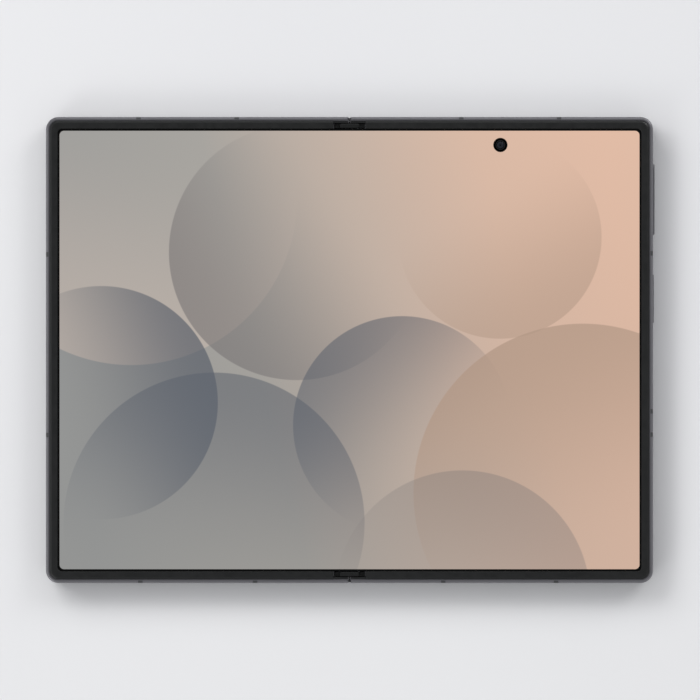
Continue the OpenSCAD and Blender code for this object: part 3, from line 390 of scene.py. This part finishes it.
# A generic picture of large soft discs that lie over each other, on a ground that is cool grey on the
# left and warm on the right, and a little deeper towards the bottom. Lengths here are in mm.
GROUND = (                         # place from left to right, from 0 to 1, and colour
    (0, srgb(152, 153, 152)),
    (0.34, srgb(166, 163, 158)),
    (0.58, srgb(196, 178, 165)),
    (0.80, srgb(217, 185, 165)),
    (1, srgb(224, 187, 165)),
)
GROUND_X = 80                      # the places run from this far left to this far right
GROUND_TILT = 0.25                 # how much of a step up counts as a step to the right
GROUND_Y = 58                      # it deepens from this far up to this far down
GROUND_DEEP = srgb(110, 108, 106)
GROUND_DEPTH = 0.16

SLATE = srgb(92, 98, 108)
DUSK = srgb(122, 118, 118)
SAND = srgb(176, 150, 132)
CREAM = srgb(226, 205, 190)
# Each disc: middle x and y, radius, the direction in degrees towards which it is deepest, its colour
# there, and how much it covers.
DISCS = (
    (-58, 40, 44, 250, CREAM, 0.35),
    (-66, -14, 31, 20, SLATE, 0.80),
    (-36, -46, 40, 75, SLATE, 0.62),
    (-14, 26, 34, 215, DUSK, 0.70),
    (14, -20, 29, 130, SLATE, 0.66),
    (40, 30, 27, 300, SAND, 0.55),
    (62, -38, 45, 110, SAND, 0.75),
    (30, -66, 34, 60, DUSK, 0.42),
)
DISC_EDGE = 0.12                   # half the width of the discs' soft edges
DISC_FADE = -0.55                  # where on its radius a disc starts to show, against its direction
SCREEN_MM = 170.0                  # side of the square that the pieces' UV map covers


def wallpaper():
    g = Graph("screen", (0.004, 0.004, 0.004, 1), 0.07, specular=0.3)
    uv = g.node("UVMap", {}, uv_map="screen")
    place = g.vector("MULTIPLY_ADD", uv, (SCREEN_MM, SCREEN_MM, 0))
    place.node.inputs[2].default_value = (-SCREEN_MM / 2, -SCREEN_MM / 2, 0)
    parts = g.node("SeparateXYZ", {0: place})
    x, y = parts.node.outputs[0], parts.node.outputs[1]
    tilt = g.math("MULTIPLY_ADD", y, GROUND_TILT, x)
    ramp = g.node("ValToRGB", {0: g.remap(tilt, -GROUND_X, GROUND_X)})
    stops = ramp.node.color_ramp.elements
    stops[0].color = GROUND[0][1]
    stops[1].color = GROUND[-1][1]
    for at, colour in GROUND[1:-1]:
        stops.new(at).color = colour
    picture = g.mix(g.remap(y, GROUND_Y, -GROUND_Y, 0.0, GROUND_DEPTH), ramp, GROUND_DEEP)
    for cx, cy, radius, heading, colour, cover in DISCS:
        away = g.vector("SUBTRACT", place, (cx, cy, 0))
        reach = g.vector("LENGTH", away, output=1)
        within = g.remap(reach, radius - DISC_EDGE, radius + DISC_EDGE, 1.0, 0.0)
        turn = math.radians(heading)
        along = g.vector("DOT_PRODUCT", away, (math.cos(turn), math.sin(turn), 0), output=1)
        depth = g.remap(along, DISC_FADE * radius, radius, 0.0, cover, smooth=True)
        picture = g.mix(g.math("MULTIPLY", within, depth), picture, colour)
    g.set("Emission Color", picture)
    g.set("Emission Strength", 1.0)
    g.bump(g.noise(70, 1), FILM_WAVE)
    return g.material


screen = wallpaper()


def map_screen(obj):
    """Gives a display piece the UV map that the wallpaper reads, from its points at rest."""
    layer = obj.data.uv_layers.new(name="screen")
    for loop in obj.data.loops:
        p = obj.data.vertices[loop.vertex_index].co
        layer.data[loop.index].uv = (p.x / (SCREEN_MM * MM) + 0.5, p.y / (SCREEN_MM * MM) + 0.5)


# ---- Inner display ----

ACTIVE_W = 77.07 * MM              # half the width and height of the lit area
ACTIVE_H = 58.26 * MM
ACTIVE_R = 1.2 * MM                # corners of the lit area, and of the whole display
DISPLAY_R = 1.15 * MM
PUNCH_R = 1.85 * MM                # the hole in the display for the inner camera
punch_lo, punch_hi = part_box("inner_camera")
PUNCH_X = (punch_lo.x + punch_hi.x) / 2
PUNCH_Y = (punch_lo.y + punch_hi.y) / 2
RIM_FILM = 0.05 * MM               # black ring printed round the camera hole


def display_panel(side, name):
    """The rigid display on one half: the lit area, and the black border round three of its edges."""
    lit = half_outline(STRIP_X, ACTIVE_W, ACTIVE_H, ACTIVE_R)
    outer = half_outline(STRIP_X, display_hi.x, display_hi.y, DISPLAY_R)
    holes = [circle(PUNCH_X, PUNCH_Y, PUNCH_R + RIM_FILM)] if side == MAIN else []
    area = plate(name + "_screen", [lit] + holes, display_lo.z, display_hi.z, screen, side=side)
    map_screen(area)
    ring = plate(name + "_screen_border", [outer + lit[::-1]], display_lo.z, display_hi.z, border_film,
                 side=side)
    for piece in (area, ring):
        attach(piece, name + "_half")
        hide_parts(name + "_display")
    if side == MAIN:
        hole = plate("camera_hole_border", [holes[0], circle(PUNCH_X, PUNCH_Y, PUNCH_R)],
                     display_lo.z, display_hi.z, border_film)
        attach(hole, "main_half")


CREASE_DEPTH = 0.03 * MM
CREASE_WIDTH = 1.8 * MM
STRIP_STEPS = 64


def display_strip(side, name):
    """Half of the strip that bends: fine rows from the hinge line to the rigid part, and a faint crease."""
    rows = (-display_hi.y, -ACTIVE_H, ACTIVE_H, display_hi.y)
    rings = []
    for i in range(STRIP_STEPS + 1):
        x = STRIP_X * i / STRIP_STEPS
        dip = CREASE_DEPTH * math.exp(-((x / CREASE_WIDTH) ** 2))
        top = [(side * x, y, display_hi.z - dip) for y in rows]
        bottom = [(side * x, y, display_lo.z) for y in reversed(rows)]
        rings.append(top + bottom)
    verts, faces = skin(rings)
    # the lit middle row of the top is the screen, and the rest is black
    marks = [0 if k == 1 else 1 for i in range(STRIP_STEPS) for k in range(2 * len(rows))] + [1, 1]
    piece = make(name + "_screen_strip", verts, faces, [screen, border_film], marks=marks)
    map_screen(piece)
    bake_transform(piece)
    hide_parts("display_fold")


# ---- Bezel ----

BEZEL_U = HALF_W - bezel_hi.x      # from the body's outer edge to the bezel
SLOPE_W = 0.6 * MM                 # the bezel's outer slope, an arc that starts steep and ends level
SLOPE_TILT = math.radians(50)
SLOPE_STEPS = 8
EDGE_R = 0.12 * MM                 # the bezel's inner edge
EDGE_STEPS = 4
OPENING = HALF_W - display_hi.x - 0.05 * MM  # from the body's outer edge to the bezel's inner edge
OPENING_R = 1.2 * MM
BEZEL_X = 4.3 * MM                 # where the bezel breaks off beside the hinge line
WALL = 1.6 * MM                    # thickness of the side walls
LIP_X = 0.33 * MM                  # the lip's end beside the hinge line
LIP_T = 0.18 * MM
LIP_R = 0.05 * MM
LIP_LAP = 0.05 * MM                # how far the lip runs under the bezel's end
LIP_BEVEL = 0.03 * MM


def bezel_profile():
    """The bezel's section as (distance from the outer edge, height): arched slope, flat and inner edge."""
    top = bezel_hi.z
    section = [(BEZEL_U, bezel_lo.z)]
    r = SLOPE_W / math.sin(SLOPE_TILT)
    for i in range(SLOPE_STEPS + 1):
        a = SLOPE_TILT * (1 - i / SLOPE_STEPS)
        section.append((BEZEL_U + SLOPE_W - r * math.sin(a), top - r * (1 - math.cos(a))))
    for i in range(EDGE_STEPS + 1):
        a = math.pi / 2 * i / EDGE_STEPS
        section.append((OPENING - EDGE_R + EDGE_R * math.sin(a), top - EDGE_R + EDGE_R * math.cos(a)))
    section.append((OPENING, bezel_lo.z))
    return section


def bezel(side, name):
    rows = []
    for u, z in bezel_profile():
        share = (u - BEZEL_U) / (OPENING - BEZEL_U)
        r = (1 - share) * (CORNER_R - BEZEL_U) + share * OPENING_R
        rows.append([(side * x, y, z) for x, y in half_outline(BEZEL_X, HALF_W - u, HALF_H - u, r)])
    rings = [list(ring) for ring in zip(*rows)]
    verts, faces = skin(rings)
    pieces = [make(name + "_bezel_ring", verts, faces, bezel_plastic, angle=50)]
    # the thin lip that goes on over the side wall to the hinge line
    for sign, end in ENDS:
        y0, y1 = sorted((sign * (HALF_H - WALL), sign * (HALF_H - BEZEL_U)))
        lip = rounded_box(LIP_X, BEZEL_X + LIP_LAP, y0, y1, LIP_R)
        pieces.append(plate(f"{name}_bezel_lip_{end}", [lip], bezel_lo.z, bezel_lo.z + LIP_T, bezel_plastic,
                            bevel=LIP_BEVEL, side=side))
    for piece in pieces:
        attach(piece, name + "_half")
        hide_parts(name + "_bezel")


# ---- Hinge ends ----

cap_lo, cap_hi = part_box("hinge_end_caps")
CAP_L = 1.2 * MM                   # how far the caps reach in from their outer ends
CAP_W = 5.1 * MM
CAP_R = 0.4 * MM
CAP_BEVEL = 0.3 * MM
FOOT_T = 0.28 * MM                 # the wider foot under each cap
FOOT_R = 0.2 * MM
FOOT_BEVEL = 0.06 * MM


def hinge_caps():
    for sign, name in ENDS:
        y0, y1 = sorted((sign * (cap_hi.y - CAP_L), sign * cap_hi.y))
        cap = plate(f"hinge_cap_{name}", [rounded_box(-CAP_W / 2, CAP_W / 2, y0, y1, CAP_R)],
                    cap_lo.z + FOOT_T / 2, cap_hi.z, cap_plastic, bevel=CAP_BEVEL)
        foot = plate(f"hinge_cap_foot_{name}", [rounded_box(cap_lo.x, cap_hi.x, y0, y1, FOOT_R)],
                     cap_lo.z, cap_lo.z + FOOT_T, cap_foot_and_shade_strip_plastic, bevel=FOOT_BEVEL)
        for piece in (cap, foot):
            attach(piece, "spine")
            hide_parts("hinge_end_caps")


SEAM = frame_lo.x                  # half the gap between the halves at the hinge line
SHADE_STRIP_TOP = display_lo.z - 0.8 * MM  # the end faces swing apart under the fold axes
SHADE_STRIP_H = 0.5 * MM
SHADE_STRIP_GAP = 0.01 * MM               # left free to the cover half and to the hinge's end cap
SHADE_STRIP_EDGE = 0.12 * MM              # from the body's outer face to the dark strip


def seam_shade_strips():
    """A thin dark strip on the end face of each side wall, in the gap at the hinge line: painted shade, a
    dark sheet that keeps the pale floor from showing through the gap.
    """
    for sign, name in ENDS:
        y0, y1 = sorted((sign * (cap_hi.y + SHADE_STRIP_GAP), sign * (HALF_H - SHADE_STRIP_EDGE)))
        strip = [(SHADE_STRIP_GAP - SEAM, y0), (SEAM, y0), (SEAM, y1), (SHADE_STRIP_GAP - SEAM, y1)]
        # painted shade: a dark sheet that darkens the seam, where there is only a shaded gap
        seal = plate(f"seam_shade_strip_{name}", [strip], SHADE_STRIP_TOP - SHADE_STRIP_H, SHADE_STRIP_TOP, cap_foot_and_shade_strip_plastic)
        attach(seal, "main_half")


# ---- Flexible cables ----

ribbon_lo, ribbon_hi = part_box("hinge_ribbons")
RIBBON_W = 4.0 * MM                # width of each cable
RIBBON_STEPS = 48


def ribbons():
    bottom, top = ribbon_lo.z, ribbon_hi.z
    for side, half in HALVES:
        for sign, end in ENDS:
            low, high = sign * (ribbon_hi.y - RIBBON_W), sign * ribbon_hi.y
            rings = []
            for i in range(RIBBON_STEPS + 1):
                x = side * ribbon_hi.x * i / RIBBON_STEPS
                rings.append([(x, low, bottom), (x, high, bottom), (x, high, top), (x, low, top)])
            verts, faces = skin(rings)
            piece = make(f"{half}_ribbon_{end}", verts, faces, ribbon_film)
            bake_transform(piece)
            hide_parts("hinge_ribbons")


# ---- Inner camera ----

AXIS = 1e-9                        # radius of the points on a dome's axis
DOME_STEPS = 8


def lens_with_painted_sheen(name, x, y, r, tint, rim, coat=1.0):
    """A coated lens element: dark in the middle, with a painted reflection, the coloured sheen of its
    coating, painted in more strongly towards its rim.
    """
    g = Graph(name, (0.003, 0.004, 0.008, 1), 0.03, specular=0.4 + 0.4 * coat)
    away = g.vector("SUBTRACT", g.place(), (x, y, 0))
    across = g.vector("MULTIPLY", away, (1, 1, 0))
    share = g.math("DIVIDE", g.vector("LENGTH", across, output=1), r)
    # painted reflection: the coating's coloured sheen, painted into the base colour from the middle out to
    # the rim
    colour = g.mix(g.remap(share, 0.15, 0.75, smooth=True), (0.002, 0.003, 0.006, 1), tint)
    g.set("Base Color", g.mix(g.remap(share, 0.72, 1.0, smooth=True), colour, rim))
    g.set("Coat Weight", coat)
    g.set("Coat Roughness", 0.02)
    return g.material


def dome(name, x, y, z, r, height, material, up=1):
    """A shallow dome, flat on its base, towards +Z or -Z."""
    profile = [(AXIS, z)]
    for i in range(DOME_STEPS, -1, -1):
        a = math.pi / 2 * i / DOME_STEPS
        profile.append((max(r * math.cos(a), AXIS), z + up * height * math.sin(a)))
    return lathe(name, (x, y), profile, material, 64)


# colours of the painted reflections of the lenses' coatings
BLUE = srgb(40, 62, 118)
VIOLET = srgb(74, 44, 104)
GREEN = srgb(34, 84, 74)
NIGHT = srgb(24, 34, 64)
INK = srgb(20, 24, 33)

INNER_R = 1.07 * MM
INNER_H = 0.34 * MM
# the ring's section in mm: radius, and height from the CAD camera's top
INNER_RING = ((1.10, -0.30), (1.10, -0.04), (1.25, 0), (1.70, 0), (1.79, -0.09), (1.79, -0.30))


def inner_camera():
    lens_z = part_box("inner_camera_lens")[0].z
    section = [(r * MM, punch_hi.z + z * MM) for r, z in INNER_RING]
    rim = lathe("inner_camera_ring", (PUNCH_X, PUNCH_Y), section, module_black)
    glass = lens_with_painted_sheen("inner_lens", PUNCH_X, PUNCH_Y, INNER_R, INK, INK, coat=0.0)
    lens = dome("inner_camera_element", PUNCH_X, PUNCH_Y, lens_z, INNER_R, INNER_H, glass)
    for piece in (rim, lens):
        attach(piece, "main_half")
    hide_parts("inner_camera_lens")


# ---- Rear cameras ----

island_lo, island_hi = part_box("camera_island")
rings_lo, rings_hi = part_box("camera_rings")
ISLAND_X = (island_lo.x + island_hi.x) / 2
ISLAND_W = island_hi.x - island_lo.x
ISLAND_Y = (rings_lo.y + rings_hi.y) / 2
ISLAND_FACE = island_lo.z
ISLAND_IN = 0.3 * MM               # how deep the island stands in the back
ISLAND_BEVEL = 0.16 * MM
RING_R = (rings_hi.x - rings_lo.x) / 2
PITCH = (rings_hi.y - rings_lo.y) / 2 - RING_R
ISLAND_L = ISLAND_W + 2 * PITCH

LENS_R = 5.4 * MM                  # inside of the rings
LENS_SEAT = 0.3 * MM               # by how much the island's holes are smaller
RING_FOOT = ISLAND_FACE + 0.02 * MM
RING_DIP = 0.2 * MM                # from the rings' face in to the glass, down a slope
RING_SLOPE = 0.25 * MM
# the rings' outside in mm, with a fine groove: inset from their radius, and depth from their face
RING_SIDE = ((0, 0.34), (0.06, 0.30), (0.06, 0.24), (0, 0.2), (0.03, 0.08), (0.12, 0))

GLASS_Z = rings_lo.z + RING_DIP
MASK_GAP = 0.02 * MM               # round the glass, and round the barrel in it
MASK_EDGE = (0.08 * MM, 0.05 * MM)  # width and height of the glass's outer edge
EYE_EDGE = (0.2 * MM, 0.12 * MM)   # and of its slope down to the eye
EYE_R = (3.3 * MM, 2.7 * MM, 3.0 * MM)
# painted reflections of each rear lens's coating: the sheen's colour, and its colour at the rim
EYE_PAINTED_SHEENS = ((VIOLET, BLUE), (BLUE, GREEN), (VIOLET, GREEN))
ELEMENT_IN = 1.15 * MM             # from the eye's edge to the front element's
ELEMENT_H = 0.42 * MM
RIDGES = 5
RIDGE_IN = 0.1 * MM                # from the eye's edge to the first ridge
RIDGE_Z = (ISLAND_FACE - 0.15 * MM, ISLAND_FACE + 0.36 * MM)  # of the first ridge, and the element's base
RIDGE_RISE = 0.9                   # how much of the step to the next ridge is upright
BARREL_LIP = 0.04 * MM             # how far the barrel's rim stands in front of the first ridge

flash_lo, flash_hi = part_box("flash_window")
FLASH_X = (flash_lo.x + flash_hi.x) / 2
FLASH_Y = (flash_lo.y + flash_hi.y) / 2
FLASH_R = (flash_hi.x - flash_lo.x) / 2
FLASH_GAP = 0.04 * MM
FLASH_IN = 0.12 * MM               # how far the dome's top stays behind the CAD window's face


def barrel_section(eye, front):
    """Ridged rings that step down inside the eye to the front element."""
    top, bottom = RIDGE_Z
    section = [(eye - MASK_GAP, bottom), (eye - MASK_GAP, top - BARREL_LIP)]
    for k in range(RIDGES):
        r = eye - RIDGE_IN + k / RIDGES * (front - eye + RIDGE_IN)
        section.append((r, top + k / RIDGES * (bottom - top)))
        section.append((r, top + (k + RIDGE_RISE) / RIDGES * (bottom - top)))
    return section + [(front, bottom)]


def rear_camera(n, x, y):
    face = rings_lo.z
    section = [(RING_R, RING_FOOT)]
    section += [(RING_R - inset * MM, face + depth * MM) for inset, depth in RING_SIDE]
    section += [(LENS_R + RING_SLOPE, face), (LENS_R, face + RING_DIP), (LENS_R, RING_FOOT)]
    ring = lathe(f"lens_ring_{n}", (x, y), section, ring_metal, 128)
    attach(ring, "main_half")
    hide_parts("camera_rings")
    eye = EYE_R[n]
    rim = LENS_R - MASK_GAP
    section = [(rim, ISLAND_FACE), (rim, GLASS_Z + MASK_EDGE[1]), (rim - MASK_EDGE[0], GLASS_Z),
               (eye + EYE_EDGE[0], GLASS_Z), (eye, GLASS_Z + EYE_EDGE[1]), (eye, ISLAND_FACE)]
    mask = lathe(f"lens_mask_{n}", (x, y), section, outer_gloss)
    front = eye - ELEMENT_IN
    barrel = lathe(f"lens_barrel_{n}", (x, y), barrel_section(eye, front), module_black)
    glass = lens_with_painted_sheen(f"rear_lens_{n}", x, y, front, *EYE_PAINTED_SHEENS[n])
    element = dome(f"lens_element_{n}", x, y, RIDGE_Z[1], front, ELEMENT_H, glass, up=-1)
    for piece in (mask, barrel, element):
        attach(piece, "main_half")
        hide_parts("camera_glasses")


def flash_lens():
    """Finish of the flash's window, with fine rings."""
    g = Graph("flash_lens", srgb(232, 214, 150), 0.25)
    away = g.vector("SUBTRACT", g.place(), (FLASH_X, FLASH_Y, 0))
    rings = g.node("TexWave", {"Vector": away, "Scale": 1800.0}, wave_type="RINGS", rings_direction="Z")
    g.set("Base Color", g.mix(rings, srgb(244, 226, 160), srgb(206, 178, 104)))
    g.bump(rings, 0.03 * MM)
    return g.material


def rear_cameras():
    centres = [(ISLAND_X, ISLAND_Y + i * PITCH) for i in (-1, 0, 1)]
    holes = [circle(x, y, LENS_R - LENS_SEAT) for x, y in centres] + [circle(FLASH_X, FLASH_Y, FLASH_R, 32)]
    island = plate("island_plate", [oval_y(ISLAND_X, ISLAND_Y, ISLAND_W, ISLAND_L)] + holes,
                   ISLAND_FACE, BACK + ISLAND_IN, graphite, bevel=ISLAND_BEVEL)
    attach(island, "main_half")
    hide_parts("camera_island")
    for n, (x, y) in enumerate(centres):
        rear_camera(n, x, y)
    flash = dome("flash_dome", FLASH_X, FLASH_Y, flash_hi.z, FLASH_R - FLASH_GAP,
                 flash_hi.z - flash_lo.z - FLASH_IN, flash_lens(), up=-1)
    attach(flash, "main_half")
    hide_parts("flash_window")


# ---- Back glass and outer display ----

GLASS_INSET = 0.85 * MM
GLASS_T = 0.5 * MM
GLASS_BEVEL = 0.14 * MM
ISLAND_LAP = 1.0 * MM              # by how much the cut for the island is smaller than the island
outer_lo, outer_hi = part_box("cover_camera")
OUTER_X = -(outer_lo.x + outer_hi.x) / 2
OUTER_Y = (outer_lo.y + outer_hi.y) / 2
OUTER_R = 1.85 * MM                # the clear window in the outer glass, over the camera
OUTER_LENS_R = 1.22 * MM
OUTER_LENS_H = 0.3 * MM
OUTER_LENS_IN = 0.45 * MM          # the lens's base, from the back plane
SLEEVE_R = 1.25 * MM               # the sleeve's bore, and its wider mouth
SLEEVE_MOUTH = 1.4 * MM
SLEEVE_IN = 0.05 * MM              # the sleeve's face and the mouth's inner end, from the back plane
SLEEVE_NECK = 0.2 * MM


def backs():
    x0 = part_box("main_back_glass")[0].x
    edge = GLASS_INSET
    outline = half_outline(x0, HALF_W - edge, HALF_H - edge, CORNER_R - edge)
    cut = oval_y(ISLAND_X, ISLAND_Y, ISLAND_W - ISLAND_LAP, ISLAND_L - ISLAND_LAP)
    back = plate("back_glass_plate", [outline, cut], BACK, BACK + GLASS_T, back_finish, bevel=GLASS_BEVEL)
    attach(back, "main_half")
    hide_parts("main_back_glass")
    window = circle(OUTER_X, OUTER_Y, OUTER_R)
    outer = plate("outer_glass_plate", [outline, window], BACK, BACK + GLASS_T, outer_gloss,
                  bevel=GLASS_BEVEL, side=COVER)
    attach(outer, "cover_half")
    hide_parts("cover_glass")


def outer_camera():
    """The camera behind the outer glass: a dark sleeve that fills the window, and its front element."""
    x, y = -OUTER_X, OUTER_Y
    section = [(OUTER_R, BACK + SLEEVE_IN), (OUTER_R, BACK + GLASS_T), (SLEEVE_R, BACK + GLASS_T),
               (SLEEVE_R, BACK + SLEEVE_NECK), (SLEEVE_MOUTH, BACK + SLEEVE_IN)]
    sleeve = lathe("outer_camera_sleeve", (x, y), section, module_black)
    glass = lens_with_painted_sheen("outer_lens", x, y, OUTER_LENS_R, NIGHT, INK)
    lens = dome("outer_camera_element", x, y, BACK + OUTER_LENS_IN, OUTER_LENS_R, OUTER_LENS_H, glass, up=-1)
    for piece, slot in ((sleeve, "module_plastic"), (lens, "lens_glass")):
        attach(piece, "cover_half")


# ---- Materials of the CAD pieces ----

CAD_FINISH = {
    "graphite_metal": graphite, "ring_metal": ring_metal, "bezel_plastic": bezel_plastic,
    "antenna_plastic": antenna_plastic, "back_glass": back_finish, "outer_glass": outer_gloss,
    "lens_glass": outer_gloss, "hinge_steel": hinge_steel, "fastener_steel": plain_steel,
    "module_plastic": module_black, "panel_glass": outer_gloss, "battery_foil": battery_foil, "board": board,
    "copper": copper, "ribbon_film": ribbon_film, "flash_lens": gold, "display_warm": screen,
    "display_cool": screen, "display_middle": screen,
}


def finish_cad():
    slots = {row["node"]: row["material_slot"] for row in frame["record"]["subparts"]}
    for name, obj in frame["nodes"].items():
        obj.data.materials.clear()
        obj.data.materials.append(CAD_FINISH[slots[name]])


# ---- Stage, light and camera ----

VIEW_W = 186.05 * MM               # width that the photograph shows in the display's plane
VIEW_X = 0.13 * MM                 # how far the photograph's middle lies beside the hinge line
CAMERA_UP = 1.45                   # height of the camera above the display
FLOOR_SIZE = 8
FLOOR_Z = -0.1 * MM


def stage():
    g = Graph("floor", srgb(226, 226, 228), 0.6, specular=0.2)
    g.set("Base Color", g.mix(g.remap(g.noise(3, 2), 0.3, 0.7), srgb(224, 224, 226), srgb(230, 230, 231)))
    bpy.ops.mesh.primitive_plane_add(size=FLOOR_SIZE, location=(0, 0, FLOOR_Z))
    floor = bpy.context.object
    floor.name = "floor"
    floor.data.materials.append(g.material)


# Softboxes round the phone, all at the same distance. Each row: name, direction in degrees from +X
# towards +Y, height in degrees, width and length in metres, power in watts, and whether glossy surfaces
# mirror it.
LAMP_AWAY = 2.25
LAMPS = (
    ("key", 135, 33, 1.6, 1.0, 32, False),
    ("top", 92, 35, 1.3, 0.9, 5, True),
    ("left", 178, 35, 1.0, 0.8, 4, True),
    ("right", 45, 30, 1.0, 1.0, 13, True),
    ("low_left", 225, 28, 1.0, 0.9, 9, True),
    ("low_right", 314, 28, 1.1, 0.8, 2, True),
)

# The sky is pale all round and dark only straight above, so that what faces the camera mirrors little.
# It changes where the upward part of a direction, 1 straight up, passes from one value to the other.
SKY = (0.82, 0.83, 0.85, 1)
SKY_TOP = (0.08, 0.08, 0.084, 1)
SKY_CHANGE = (0.985, 0.997)
SKY_POWER = 0.52


def lights():
    for name, heading, height, width, length, power, mirrored in LAMPS:
        data = bpy.data.lights.new(name, "AREA")
        data.shape = "RECTANGLE"
        data.size, data.size_y = width, length
        data.energy = power
        lamp = bpy.data.objects.new(name, data)
        lamp.visible_glossy = mirrored
        turn, rise = math.radians(heading), math.radians(height)
        towards = Vector((math.cos(rise) * math.cos(turn), math.cos(rise) * math.sin(turn), math.sin(rise)))
        lamp.location = towards * LAMP_AWAY
        lamp.rotation_mode = "QUATERNION"
        lamp.rotation_quaternion = (-towards).to_track_quat("-Z", "Y")
        bpy.context.scene.collection.objects.link(lamp)


def sky():
    world = bpy.data.worlds.new("world")
    bpy.context.scene.world = world
    world.use_nodes = True
    tree = world.node_tree
    background = tree.nodes["Background"]
    place = tree.nodes.new("ShaderNodeTexCoord")
    split = tree.nodes.new("ShaderNodeSeparateXYZ")
    ramp = tree.nodes.new("ShaderNodeValToRGB")
    tree.links.new(place.outputs["Generated"], split.inputs[0])
    tree.links.new(split.outputs[2], ramp.inputs[0])
    tree.links.new(ramp.outputs[0], background.inputs[0])
    stops = ramp.color_ramp.elements
    stops[0].position, stops[0].color = SKY_CHANGE[0], SKY
    stops[1].position, stops[1].color = SKY_CHANGE[1], SKY_TOP
    background.inputs[1].default_value = SKY_POWER


def camera():
    data = bpy.data.cameras.new("camera")
    data.sensor_width = 36
    data.lens = data.sensor_width * CAMERA_UP / VIEW_W
    data.clip_start, data.clip_end = 0.05, 20
    obj = bpy.data.objects.new("camera", data)
    obj.location = (VIEW_X, 0, display_hi.z + CAMERA_UP)
    bpy.context.scene.collection.objects.link(obj)
    bpy.context.scene.camera = obj
    bpy.context.scene.view_settings.view_transform = "Standard"


camera()
stage()
lights()
sky()
finish_cad()
for half_side, half_name in HALVES:
    display_panel(half_side, half_name)
    display_strip(half_side, half_name)
    bezel(half_side, half_name)
hinge_caps()
seam_shade_strips()
ribbons()
inner_camera()
rear_cameras()
backs()
outer_camera()
